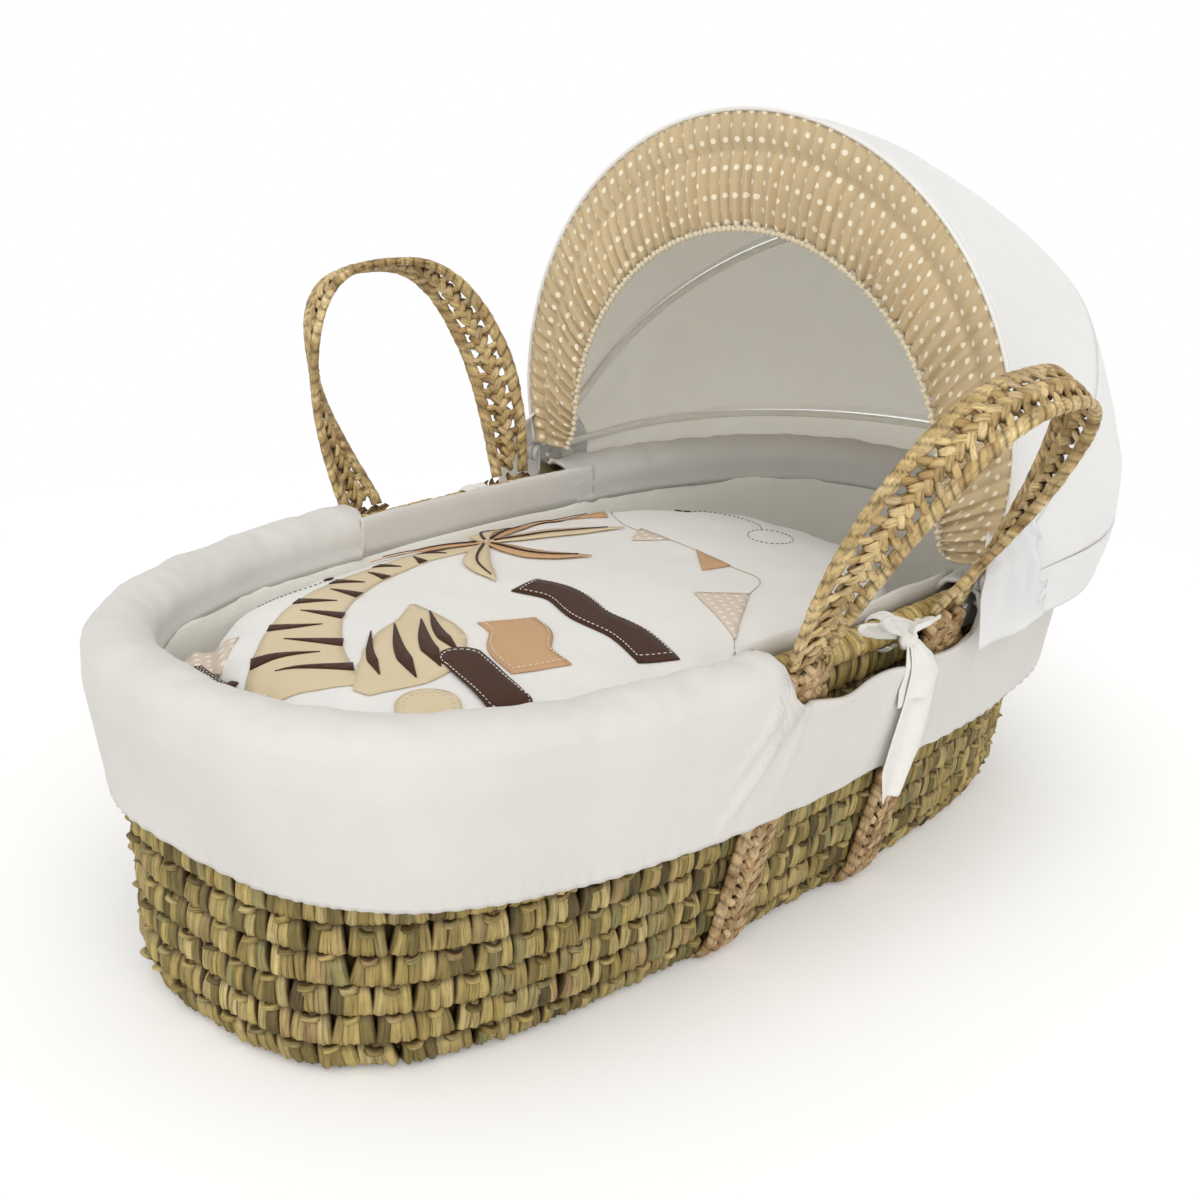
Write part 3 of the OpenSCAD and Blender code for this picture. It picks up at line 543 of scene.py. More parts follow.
def flat_strand(line, half, thick, sides=8):
    """rings of an oval strand along a line of (along, across, out) points"""
    line = np.asarray(line, float)
    d = np.gradient(line, axis=0)
    d /= np.linalg.norm(d[:, :2], axis=1)[:, None]
    side = np.stack([-d[:, 1], d[:, 0], np.zeros(len(d))], 1)
    q = np.linspace(0, 2 * np.pi, sides, endpoint=False)
    end = np.sin(np.pi * np.linspace(0.12, 0.88, len(line))) ** 0.4
    return (line[:, None, :] + side[:, None, :] * (half * end)[:, None, None] * np.cos(q)[None, :, None]
            + np.array([0, 0, 1.0]) * (thick * end)[:, None, None] * np.sin(q)[None, :, None])


def bend(start, finish, low, high, count=6):
    """a line over the plait from start to finish (along, across), rising from low to high and back"""
    f = np.linspace(0, 1, count)
    return np.column_stack([start[0] + (finish[0] - start[0]) * f, start[1] + (finish[1] - start[1]) * f,
                            low + (high - low) * np.sin(np.pi * f)])


def plait(length, seed, braid, hole, cord, rung_half):
    """the band laid out flat: braid and hole are the pitches of the braid and of the holes"""
    chance = np.random.default_rng(seed)
    made = Strands()
    edge = band_half - cord * 1.3
    for side in (-1, 1):
        steps = int(length / 0.0015)
        s = np.linspace(0, length, steps)[:, None]
        q = np.linspace(0, 2 * np.pi, 12, endpoint=False)[None, :]
        phase = s / 0.0105 + side * 0.30 * np.cos(q) + 0.15 * np.sin(2 * np.pi * s / 0.05)
        groove = np.abs(np.cos(np.pi * phase)) ** 10
        wrap = np.floor(phase + 0.5).astype(int) + 3
        size = cord * (0.93 + 0.12 * chance.random(wrap.max() + 2)[wrap]) * (1 - 0.10 * groove)
        rings = np.stack(np.broadcast_arrays(s, side * edge + 1.3 * size * np.cos(q),
                                             0.85 * size * np.sin(q)), 2)
        # painted shade in the grooves between the cord's wraps
        made.add(rings, chance.random(wrap.max() + 2)[wrap] * 0.8 + 0.1, 0.9 * groove, length / 0.02)
    for face in (-1, 1):
        for k in range(int((length - 0.006) / braid)):
            s = k * braid
            for side in (-1, 1):
                start = s + (braid / 2 if side > 0 else 0)
                line = bend((start, side * 0.0062), (start + braid * 1.25, -side * 0.0024), face * 0.0006,
                            face * 0.0029, 7)
                line[:, 0] += 0.0006 * (chance.random() - 0.5)
                rings = flat_strand(line, 0.0030, 0.0014)
                # painted shade at both ends of each strand, where it goes under its neighbours
                dark = np.abs(np.linspace(-1, 1, 7)) ** 4 * 0.9
                made.add(rings, chance.random(), dark[:, None], 1.5)
    for side in (-1, 1):
        for k in range(int((length - 0.004) / hole)):
            s = (k + (0.5 if side > 0 else 0)) * hole
            for face in (-1, 1):
                lag = 0.0045 * (1 if face > 0 else -0.35)
                line = bend((s, side * (edge - 0.001)), (s + lag + 0.003, side * 0.0035), face * 0.0014,
                            face * 0.0024, 6)
                # painted shade at both ends of each short strand, where it goes under the cord and the braid
                dark = np.abs(np.linspace(-1, 1, 6)) ** 3 * 0.8
                made.add(flat_strand(line, rung_half * (0.9 + 0.25 * chance.random()), 0.0014),
                         chance.random(),
                         dark[:, None], 1.5)
    return made


def run_of(line):
    """how far along the line each of its points lies"""
    return np.concatenate([[0], np.cumsum(np.linalg.norm(np.diff(line, axis=0), axis=1))])


def way_of(line):
    """the way along the line at each of its points"""
    way = np.gradient(line, axis=0)
    return way / np.linalg.norm(way, axis=1)[:, None]


def along_path(centres, widths, normals):
    """puts (along, across, out) points on a path through the centres"""
    centres, widths, normals = (np.asarray(a, float) for a in (centres, widths, normals))
    far = run_of(centres)

    def place(points):
        s = points[:, 0]
        c, w, n = (np.stack([np.interp(s, far, a[:, i]) for i in range(3)], 1)
                   for a in (centres, widths, normals))
        w /= np.linalg.norm(w, axis=1)[:, None]
        n /= np.linalg.norm(n, axis=1)[:, None]
        return c + w * points[:, 1:2] + n * points[:, 2:3]
    return place, far[-1]


strap_place, strap_top, strap_mid = 0.080, 0.226, 0.00425
side_line = [(0.158 + 0.051 * z / rim_height + strap_mid, z) for z in np.linspace(strap_top, 0.018, 16)]
corner = [(side_line[-1][0] - 0.0026 - 0.0145 * (1 - math.cos(t)), strap_mid + 0.0138 * (1 - math.sin(t)))
          for t in np.linspace(0.1, math.pi / 2, 8)]
half_line = side_line + corner
line = [(-y, z) for y, z in half_line] + [(y, z) for y, z in half_line[::-1]]
for name, x in (("strap_foot", -strap_place), ("strap_head", strap_place)):
    centres = np.array([(x, y, z) for y, z in line])
    d = way_of(centres)
    outward = np.stack([0 * d[:, 0], d[:, 2], -d[:, 1]], 1)
    place, length = along_path(centres, np.tile((1.0, 0, 0), (len(centres), 1)), outward)
    band = plait(length, 21 if x < 0 else 22, 0.0085, 0.0098, 0.0042, 0.0032)
    strap = band.piece("plaited_" + name, strap_leaf, place)
    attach(strap, "basket")
    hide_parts(name)

hinge_y, hinge_z, loop_belly, loop_round = 0.21325, 0.23175, 0.016, 2.9
for name, side, height, lean, pull in (("handle_right", -1, 0.204, 28, 0.002),
                                       ("handle_left", 1, 0.182, 18, -0.020)):
    def mid_line(f):
        t = math.pi * (1 - f)
        v = height * max(0.0, math.sin(t)) ** (2 / loop_round)
        half = strap_place + loop_belly * math.sin(math.pi / 2 * min(1, v / (0.62 * height)))
        return np.array([half * math.copysign(abs(math.cos(t)) ** (2 / loop_round), math.cos(t))
                         + pull * v / height, v])
    centres, widths, normals = [], [], []
    steps = 240
    tilt = math.radians(lean)
    for i in range(steps + 1):
        f = 0.5 - 0.5 * math.cos(math.pi * i / steps)
        c = mid_line(f)
        d = mid_line(min(1, f + 0.002)) - mid_line(max(0, f - 0.002))
        d = np.array((0, 1.0)) if i == 0 else np.array((0, -1.0)) if i == steps else d / np.linalg.norm(d)
        inward = (d[1], -d[0])
        turn = math.pi / 2 * c[1] / height
        flat = [(c[0], 0, c[1]), (inward[0] * math.cos(turn), math.sin(turn), inward[1] * math.cos(turn)),
                (-inward[0] * math.sin(turn), math.cos(turn), -inward[1] * math.sin(turn))]
        turned = [(x, side * (y * math.cos(tilt) + z * math.sin(tilt)),
                   -y * math.sin(tilt) + z * math.cos(tilt))
                  for x, y, z in flat]
        centres.append((turned[0][0], turned[0][1] + side * hinge_y, turned[0][2] + hinge_z))
        widths.append(turned[1])
        normals.append(turned[2])
    place, length = along_path(centres, widths, normals)
    band = plait(length, 31 if side < 0 else 32, 0.0088, 0.0142, 0.0040, 0.0025)
    handle = band.piece("plaited_" + name, plait_leaf, place)
    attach(handle, "right_handle" if side < 0 else "left_handle")
    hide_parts(name)

# ---- lashings ------------------------------------------------------------------------
# Twisted leaf is knotted round the foot of each handle, the strap and the rim.
for name, x, side in (("lashing_right_foot", -strap_place, -1), ("lashing_right_head", strap_place, -1),
                      ("lashing_left_foot", -strap_place, 1), ("lashing_left_head", strap_place, 1)):
    chance = np.random.default_rng(int(200 + x * 100 + side * 7))
    made = Strands()
    for k in range(26):
        z = 0.199 + 0.026 * chance.random()
        a = -0.023 + 0.046 * chance.random()
        slant = (0.013 if k % 2 else -0.013) * (0.6 + 0.8 * chance.random())
        b = max(-0.026, min(0.026, a + slant))
        line = bend((z - 0.006, a), (z + 0.007, b), 0.0015, 0.0062 + 0.0015 * chance.random(), 7)
        # painted shade at the ends of each strand, where it goes under the others
        dark = np.abs(np.linspace(-1, 1, 7)) ** 3 * 0.95
        made.add(flat_strand(line, 0.0030 + 0.0008 * chance.random(), 0.0017), chance.random(), dark[:, None],
                 1.5)
    for z in (0.2055, 0.2135):
        line = bend((z, -0.0245), (z + 0.002, 0.0245), 0.004, 0.0062, 12)
        made.add(flat_strand(line, 0.0036, 0.0016), chance.random(), 0.1, 4.0)
    reach = 0.2105

    def against_wall(p):
        out = side * (reach + p[:, 2] - (rim_height - p[:, 0]) * 0.22)
        return np.stack([x + p[:, 1], out, p[:, 0]], 1)

    lashing = made.piece("knotted_" + name, strap_leaf, against_wall)
    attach(lashing, "basket")
    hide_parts(name)

# ---- liner: the roll over the rim and the skirt --------------------------------------
# One quilted cotton cloth folds over the rim as a padded roll and hangs down outside as a skirt with
# an elastic hem. It is cut away at the handles, where the skirt's top edge runs free under the rim.


def cloth(name, colour, rough=0.92, mottle=0.05, thread=0.35, sheen=0.25, dots=None, thin=0.0):
    """plain-woven cotton: faint slubs both ways, soft uneven whiteness; dots is (pitch, radius, colour);
    thin is how much light comes through a single layer"""
    made, tree, shader = material(name, rough, Sheen_Weight=sheen, Sheen_Roughness=0.5,
                                  Specular_IOR_Level=0.15,
                                  Subsurface_Weight=thin, Subsurface_Scale=0.006,
                                  Subsurface_Radius=(1.0, 0.93, 0.8))
    threads = [speckle(tree, place_on(tree, *scale), 0.35, Detail=1.0)
               for scale in ((120, 120, 2400), (2400, 2400, 120))]
    woven = maths(tree, "ADD", *threads)
    dim = tuple(c * (1 - mottle) for c in colour)
    base = ramp(tree, speckle(tree, place_on(tree), 9.0, Detail=3.0), ((0.35, dim), (0.62, colour)))
    slub = ramp(tree, woven, ((0.3, (0.955, 0.95, 0.94)), (0.62, (1.0, 1.0, 1.0))))
    made_colour = mix(tree, 1.0, base, slub, "MULTIPLY")
    if dots:
        pitch, size, dot_colour = dots
        flat = node(tree, "ShaderNodeUVMap", uv_map="strip").outputs["UV"]
        row_step, nearest = 1.6, []
        for shift in (0.0, 0.5):
            moved = vectors(tree, "MULTIPLY_ADD", flat, (1 / pitch, 1 / pitch / row_step, 0),
                            (shift, shift, 0))[0]
            cell = vectors(tree, "FRACTION", moved)[0]
            centred = vectors(tree, "SUBTRACT", cell, (0.5, 0.5, 0))[0]
            true = vectors(tree, "MULTIPLY", centred, (pitch, pitch * row_step, 0))[0]
            nearest.append(vectors(tree, "LENGTH", true)["Value"])
        near = maths(tree, "MINIMUM", *nearest)
        edge = {"Value": near, "From Min": size * 1.12, "From Max": size * 0.88}
        inside = node(tree, "ShaderNodeMapRange", edge).outputs[0]
        made_colour = mix(tree, inside, made_colour, (*dot_colour, 1))
    colour_from(tree, shader, made_colour)
    bump_from(tree, shader, woven, thread, 0.0004)
    return made


liner_cotton = cloth("liner_cotton", (0.72, 0.70, 0.66))
rim_half = wall(rim_height)
roll_in, roll_out, roll_high, roll_sew, skirt_sew = -0.025, 0.018, 0.019, 0.2145, 0.204
roll_tuck = ((-0.0262, 0.2065), (-0.0264, 0.2110))
hem_height, hem_oval = 0.126, (0.3983, 0.20895, 3.0)
gap_foot, gap_head = -0.107, 0.138
around, down = 620, 50
even = oval(*rim_half, around)[0]
angle = np.arctan2(np.sign(even[:, 1]) * (np.abs(even[:, 1]) / rim_half[1]) ** (rim_half[2] / 2),
                   np.sign(even[:, 0]) * (np.abs(even[:, 0]) / rim_half[0]) ** (rim_half[2] / 2))


def on_oval(half_length, half_width, roundness, t):
    return (half_length * np.sign(np.cos(t)) * np.abs(np.cos(t)) ** (2 / roundness),
            half_width * np.sign(np.sin(t)) * np.abs(np.sin(t)) ** (2 / roundness))


# the profile, from the seam inside, over the crest and down to the hem: offset from the rim's outline, height
mid_off, half_off = (roll_in + roll_out) / 2, (roll_out - roll_in) / 2
profile = [*roll_tuck, (roll_in, roll_sew)]
profile += [(mid_off - half_off * math.cos(a), rim_height + roll_high * math.sin(a))
            for a in np.linspace(0, math.pi, 25)]
profile += [(roll_out, 0.213), (roll_out, skirt_sew)]
profile += [(roll_out, z) for z in np.linspace(skirt_sew - 0.006, hem_height, 14)]
far = np.concatenate([[0], np.cumsum(np.hypot(*np.diff(np.array(profile), axis=0).T))])
cut_at = float(np.interp(27 + len(roll_tuck), range(len(far)), far)) - 0.001
side_x = np.where(np.abs(even[:, 1]) > 0.12, even[:, 0], 1.0)
open_part = np.clip((side_x - (gap_foot - 0.016)) / 0.034, 0,
                    1) * np.clip(((gap_head - 0.004) - side_x) / 0.03, 0, 1)
open_part = open_part * open_part * (3 - 2 * open_part)
start = cut_at * open_part
points = np.empty((down, around, 3))
rest = np.linspace(0, 1, down) ** 0.96
for i, share in enumerate(rest):
    s = start + (far[-1] - start) * share
    off = np.interp(s, far, [p[0] for p in profile])
    z = np.interp(s, far, [p[1] for p in profile])
    f = np.clip((skirt_sew - z) / (skirt_sew - hem_height), 0, 1)
    a = (rim_half[0] + off) * (1 - f) + hem_oval[0] * f
    b = (rim_half[1] + off) * (1 - f) + hem_oval[1] * f
    n = rim_half[2] * (1 - f) + hem_oval[2] * f
    x, y = on_oval(a, b, n, angle)
    points[i, :, 0], points[i, :, 1], points[i, :, 2] = x, y, z
faces = [f[::-1] for f in grid_faces(down, around, True)]
liner = mesh_piece("liner_roll_and_skirt", points.reshape(-1, 3), faces, liner_cotton, tidy=False)
normal = np.empty(len(liner.data.vertices) * 3, np.float32)
liner.data.vertices.foreach_get("normal", normal)
normal = normal.reshape(down, around, 3)


def crease_line(x, z, x0, z0, x1, z1, width):
    """a soft ridge along a line from (x0, z0) to (x1, z1) that fades towards its end"""
    d = np.array([x1 - x0, z1 - z0])
    run = np.hypot(*d)
    t = ((x - x0) * d[0] + (z - z0) * d[1]) / run ** 2
    off = ((x - x0) * d[1] - (z - z0) * d[0]) / run
    return np.exp(-(off / width) ** 2) * np.clip(1.15 - t, 0, 1) * (t > -0.15)


lift = np.zeros((down, around))
for i in range(down):
    for j in range(around):
        p = points[i, j]
        puff = noise.noise(Vector((p[0] * 9, p[1] * 9, p[2] * 5))) * 0.0022
        crest = max(0.0, (p[2] - 0.212) / 0.03)
        pucker = (noise.noise(Vector((p[0] * 75, p[1] * 75, p[2] * 40 + 7))) * 0.0015
                  + noise.noise(Vector((p[0] * 34, p[1] * 34, p[2] * 16 + 2))) * 0.0021) * crest
        slack = noise.noise(Vector((p[0] * 22, p[1] * 22, p[2] * 4 + 3))) * 0.0016 * max(0.0, 1 - crest)
        lift[i, j] = puff * 0.8 + pucker + slack
x, y, z = points[:, :, 0], points[:, :, 1], points[:, :, 2]
near = (y < -0.1).astype(float)
# creases that run down from the handles: start, end, width, height
skirt_creases = ((-0.100, 0.203, -0.155, 0.130, 0.0042, 0.0052),
                 (-0.118, 0.206, -0.148, 0.168, 0.0035, 0.0034),
                 (-0.104, 0.200, -0.118, 0.165, 0.0028, -0.0034),
                 (-0.088, 0.202, -0.105, 0.132, 0.004, 0.0030),
                 (0.018, 0.205, 0.004, 0.130, 0.005, 0.0018), (0.030, 0.205, 0.040, 0.150, 0.004, 0.0022),
                 (0.132, 0.205, 0.155, 0.150, 0.005, 0.0026), (0.126, 0.204, 0.120, 0.160, 0.004, -0.0018))
for x0, z0, x1, z1, width, high in skirt_creases:
    lift += crease_line(x, z, x0, z0, x1, z1, width) * high * near
    lift += crease_line(x, z, x0 + 0.006, z0, x1 - 0.01, z1, width * 1.2) * high * 0.7 * (y > 0.1)
free_edge = open_part[None, :] * np.exp(-((z - 0.203) / 0.008) ** 2)
lift += free_edge * (0.0016 * np.sin(x * 95) + 0.001)
gather = np.exp(-((z - hem_height) / 0.012) ** 2)
lift += gather * 0.0006 * np.sin(angle[None, :] * 140 + 3 * np.sin(angle[None, :] * 9))
points += normal * lift[:, :, None]
points[:, :, 2] += (free_edge * 0.0025 * np.sin(x * 60 + 1))
liner.data.vertices.foreach_set("co", points.ravel())


def settled(piece):
    """applies the piece's modifiers"""
    graph = bpy.context.evaluated_depsgraph_get()
    final = bpy.data.meshes.new_from_object(piece.evaluated_get(graph))
    piece.modifiers.clear()
    piece.data = final
    final.polygons.foreach_set("use_smooth", [True] * len(final.polygons))
    return piece


def thicken(piece, thickness, offset=-1):
    """gives a sheet its thickness: inwards at -1, outwards at 1"""
    solid = piece.modifiers.new("thickness", "SOLIDIFY")
    solid.thickness, solid.offset = thickness, offset
    return settled(piece)


thicken(liner, 0.0032)
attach(liner, "basket")
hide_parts("roll_foot", "roll_head", "skirt")

# Beside the handles the liner ends in a folded edge that stands up inside the rim.
edge_profile = ((-0.0262, 0.2065), (-0.0262, 0.2140), (-0.0254, 0.2220), (-0.0250, 0.2300), (-0.0243, 0.2352),
                (-0.0226, 0.2378), (-0.0207, 0.2366), (-0.0199, 0.2310), (-0.0199, 0.2190))
edge_steps = 110
for name, side in (("liner_edge_right", -1), ("liner_edge_left", 1)):
    rows = []
    for k, (off, z) in enumerate(edge_profile):
        a, b = rim_half[0] + off, rim_half[1] + off
        x = np.linspace(gap_foot - 0.004, gap_head + 0.004, edge_steps)
        y = b * (1 - np.abs(x / a) ** rim_half[2]) ** (1 / rim_half[2])
        free = min(1.0, max(0.0, (z - 0.216) / 0.016))
        y += np.array([noise.noise(Vector((v * 30, z * 30, side * 3))) * 0.0012 for v in x]) * free
        rise = np.array([noise.noise(Vector((v * 22, 1, side * 5))) * 0.0022 for v in x]) * free
        rows.append(np.column_stack([x, side * y, z + rise]))
    faces = [f if side > 0 else f[::-1] for f in grid_faces(len(edge_profile), edge_steps)]
    edge = mesh_piece(name, np.concatenate(rows), faces, liner_cotton, tidy=False)
    thicken(edge, 0.0012)
    edge.name = "folded_" + name
    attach(edge, "basket")
    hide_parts(name)

# a flat elastic is sewn round the inside of the hem
elastic_weave = cloth("elastic_weave", (0.70, 0.67, 0.60), thread=0.8)
repaint("skirt_elastic", elastic_weave)

# ---- bumper and mattress -------------------------------------------------------------
# The inner wall is a long padded cotton cushion that stands on the base; the mattress is foam in a
# cotton cover and lies inside it.


def plump(piece, voxel, cap, pressure=4.0):
    """blows up a closed cloth shape a little with Cloth, no point moving further than cap"""
    remesh = piece.modifiers.new("even", "REMESH")
    remesh.mode, remesh.voxel_size = "VOXEL", voxel
    settled(piece)
    before = np.empty(len(piece.data.vertices) * 3)
    piece.data.vertices.foreach_get("co", before)
    blown = piece.modifiers.new("blown", "CLOTH")
    blown.settings.use_pressure = True
    blown.settings.uniform_pressure_force = pressure
    blown.settings.effector_weights.gravity = 0
    blown.settings.quality = 4
    blown.point_cache.frame_start, blown.point_cache.frame_end = 1, 20
    for frame_number in range(1, 21):
        bpy.context.scene.frame_set(frame_number)
    settled(piece)
    bpy.context.scene.frame_set(1)
    after = np.empty(len(piece.data.vertices) * 3)
    piece.data.vertices.foreach_get("co", after)
    move = (after - before).reshape(-1, 3)
    size = np.linalg.norm(move, axis=1)[:, None]
    move *= np.minimum(1, cap / np.maximum(size, 1e-9))
    piece.data.vertices.foreach_set("co", (before.reshape(-1, 3) + move).ravel())
    return piece


def smooth_out(piece, levels=1):
    finer = piece.modifiers.new("finer", "SUBSURF")
    finer.levels = finer.render_levels = levels
    return settled(piece)


def closed_ring(name, sections, count, paint):
    """a ring round the basket from sections (half length, half width, roundness, height), joined up"""
    rows = []
    for a, b, n, z in sections:
        x, y = on_oval(a, b, n, np.linspace(0, 2 * np.pi, count, endpoint=False))
        rows.append(np.column_stack([x, y, np.full(count, z)]))
    return mesh_piece(name, np.concatenate(rows), tube_faces(len(rows), count), paint)


# the liner's cotton painted a quarter lighter: painted light for the shaded inside of the basket
painted_light_cotton = cloth("inner_cotton", (0.90, 0.88, 0.82))
heights = np.linspace(0.018, 0.212, 9)
sections = [(*wall(z, -0.0235 - 0.0008 * math.sin(math.pi * i / 8)), z) for i, z in enumerate(heights)]
sections += [(*wall(z, -0.0165), z) for z in heights[::-1]]
bumper = plump(closed_ring("padded_bumper", sections, 220, painted_light_cotton), 0.005, 0.0022)
smooth_out(bumper)
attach(bumper, "basket")
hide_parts("bumper_cover", "bumper_wadding")

mattress_cotton = cloth("mattress_cotton", (0.82, 0.81, 0.78))
rows, count = [], 140
for inset, z in ((0.14, 0.0165), (0.06, 0.0155), (0.006, 0.016), (0.0015, 0.021), (0.001, 0.0325),
                 (0.0015, 0.043), (0.006, 0.0485), (0.06, 0.0495), (0.13, 0.0498)):
    a, b, n = wall(0.015, -0.030 - min(inset, 0.12))
    x, y = on_oval(a, b, n, np.linspace(0, 2 * np.pi, count, endpoint=False))
    rows.append(np.column_stack([x, y, np.full(count, z)]))
faces = grid_faces(len(rows), count, True)
faces += [tuple(range(count)), tuple(range((len(rows) - 1) * count, len(rows) * count))]
mattress = plump(mesh_piece("mattress", np.concatenate(rows), faces, mattress_cotton), 0.006, 0.0012)
smooth_out(mattress)
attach(mattress, "basket")
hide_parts("mattress_cover", "mattress_foam")

# ---- ties ----------------------------------------------------------------------------
# Cotton tapes hold the liner to the rim inside each handle: a bow with hanging ends on the right,
# a short folded end on the left.
tape_cotton = cloth("tape_cotton", (0.84, 0.825, 0.78))


def tape(name, line, sides, widths, paint, fold=0.0014, thick=0.0011):
    """a cloth tape along a line: sides are its width directions; it is creased lengthwise"""
    line, sides = np.asarray(line, float), np.asarray(sides, float)
    fine = np.linspace(0, len(line) - 1, 40)
    spot = np.stack([np.interp(fine, range(len(line)), line[:, i]) for i in range(3)], 1)
    for _ in range(3):
        spot[1:-1] = (spot[:-2] + 2 * spot[1:-1] + spot[2:]) / 4
    side = np.stack([np.interp(fine, range(len(sides)), sides[:, i]) for i in range(3)], 1)
    side /= np.linalg.norm(side, axis=1)[:, None]
    width = np.interp(fine, np.linspace(0, len(line) - 1, len(widths)), widths)
    run = np.gradient(spot, axis=0)
    face = np.cross(run, side)
    face /= np.linalg.norm(face, axis=1)[:, None]
    u = np.linspace(-1, 1, 9)
    rows = (spot[:, None, :] + side[:, None, :] * (width[:, None] / 2 * u[None, :])[:, :, None]
            + face[:, None, :] * (fold * (np.cos(u * 5 + 1)[None, :]
                                          + 0.5 * np.sin(u[None, :] * 9 + fine[:, None] * 0.2)))[:, :, None])
    made = mesh_piece(name, rows.reshape(-1, 3), grid_faces(40, 9), paint, tidy=False)
    solid = made.modifiers.new("thickness", "SOLIDIFY")
    solid.thickness, solid.offset = thick, 0
    return smooth_out(made)


def skirt_face(x, z, off=0.0):
    """y of the skirt's outer face on the left side"""
    f = min(1, max(0, (skirt_sew - z) / (skirt_sew - hem_height)))
    a = (rim_half[0] + roll_out) * (1 - f) + hem_oval[0] * f
    b = (rim_half[1] + roll_out) * (1 - f) + hem_oval[1] * f
    n = rim_half[2] * (1 - f) + hem_oval[2] * f
    return b * (1 - (abs(x) / a) ** n) ** (1 / n) + off


tie_x = 0.024
side_x_way = (1.0, 0, 0)


def round_rim(turns):
    """the way of a tape round the bare rim"""
    return [(tie_x, 0.198 + 0.0125 * math.cos(a), 0.222 + 0.0125 * math.sin(a)) for a in turns]


def tied(*spots):
    return [(tie_x + x, y, z) for x, y, z in spots]


def at_skirt(x, z, off, end):
    """a spot of a tail that lies this far off the skirt, as it is at height z"""
    return x, skirt_face(tie_x, z, off), end


bow = [
    tape("bow_loop", [(tie_x, 0.211, 0.228)] + round_rim(np.linspace(0.6, 2 * math.pi - 0.6, 14)),
         [side_x_way], [0.013, 0.011, 0.013], tape_cotton),
    tape("bow_wing", tied((0, 0.219, 0.226), (-0.012, 0.222, 0.236), (-0.030, 0.220, 0.243),
                          (-0.034, 0.214, 0.240), (-0.022, 0.213, 0.232), (-0.002, 0.216, 0.226)),
         [(0.3, 0.6, 0.8), (0.2, 0.9, 0.5)], [0.009, 0.025, 0.028, 0.025, 0.009], tape_cotton, 0.002),
    tape("bow_wing_b", tied((0, 0.219, 0.226), (0.016, 0.221, 0.231), (0.030, 0.217, 0.231),
                            (0.024, 0.212, 0.226), (0.004, 0.215, 0.225)),
         [(-0.3, 0.6, 0.8), (-0.2, 0.9, 0.4)], [0.008, 0.019, 0.022, 0.017, 0.008], tape_cotton, 0.0016),
    tape("bow_tail_short", tied((0.001, 0.222, 0.222), at_skirt(0.004, 0.205, 0.006, 0.208),
                                at_skirt(0.010, 0.19, 0.006, 0.193), at_skirt(0.012, 0.18, 0.005, 0.178)),
         [(0.9, 0.3, 0.2)], [0.011, 0.026, 0.038, 0.034], tape_cotton, 0.0024),
    tape("bow_tail_long", tied((0.004, 0.221, 0.222), at_skirt(0.012, 0.205, 0.004, 0.207),
                               at_skirt(0.020, 0.18, 0.0035, 0.182), at_skirt(0.018, 0.15, 0.0045, 0.150),
                               at_skirt(0.016, 0.128, 0.005, 0.128), at_skirt(0.014, 0.126, 0.002, 0.100)),
         [(1, 0.1, 0.1)], [0.012, 0.030, 0.040, 0.046, 0.046, 0.024], tape_cotton, 0.0030),
]
knot = Strands()
chance = np.random.default_rng(8)
for k in range(9):
    a = k * 2.4
    x, y = 0.008 * math.cos(a), 0.008 * math.sin(a)
    line = np.array([(-x, -y, 0.001), (0, 0, 0.0062), (x, y, 0.001)])
    fine = np.linspace(0, 2, 7)
    line = np.stack([np.interp(fine, range(3), line[:, i]) for i in range(3)], 1) + [0, 0, 0.0005 * k % 0.002]
    knot.add(flat_strand(line, 0.0048, 0.0026, 10), 0.5, 0, 1)
bow.append(knot.piece("bow_knot", tape_cotton,
                      lambda p: np.stack([tie_x + 0.001 + p[:, 1], 0.2165 + p[:, 2], 0.2235 + p[:, 0]], 1)))
tidy = bmesh.new()
for part in bow:
    tidy.from_mesh(part.data)
for v in tidy.verts:
    v.co.y = -v.co.y
bmesh.ops.recalc_face_normals(tidy, faces=tidy.faces)
right_tie = bow[0]
tidy.to_mesh(right_tie.data)
tidy.free()
for part in bow[1:]:
    bpy.data.objects.remove(part)
right_tie.name = "tie_bow"
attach(right_tie, "basket")
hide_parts("tie_right")

tie_way = [(tie_x, 0.2125, 0.212), *round_rim(np.linspace(-0.5, 1.5 * math.pi, 16)),
           *tied((0, 0.204, 0.2065), (0.004, 0.222, 0.202), (0.008, 0.2245, 0.192))]
left_tie = tape("tie_folded", tie_way, [side_x_way], [0.020, 0.022, 0.022, 0.020], tape_cotton)
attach(left_tie, "basket")
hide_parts("tie_left")

# ---- coverlet ------------------------------------------------------------------------
# A padded cotton coverlet, domed over the sleeping space and tucked in on the mattress all round.
coverlet_cotton = cloth("coverlet_cotton", (0.84, 0.83, 0.80), mottle=0.03)
cover_mid, cover_a, cover_b, cover_round = -0.0629, 0.2779, 0.1693, 2.5
hem_a, hem_b = cover_a - 0.075, 0.1378
cover_count = 180
dome = [(0.0, 0.200), (0.0015, 0.2045), (0.004, 0.207), (0.009, 0.2100), (0.015, 0.212), (0.028, 0.2145),
        (0.045, 0.216), (0.070, 0.2172), (0.100, 0.218), (0.130, 0.2183), (0.155, 0.2184)]
skin = 0.0015


def cover_ring(a, b, z):
    x, y = on_oval(a, b, cover_round, np.linspace(0, 2 * np.pi, cover_count, endpoint=False))
    return np.column_stack([x + cover_mid, y, np.full(cover_count, z)])


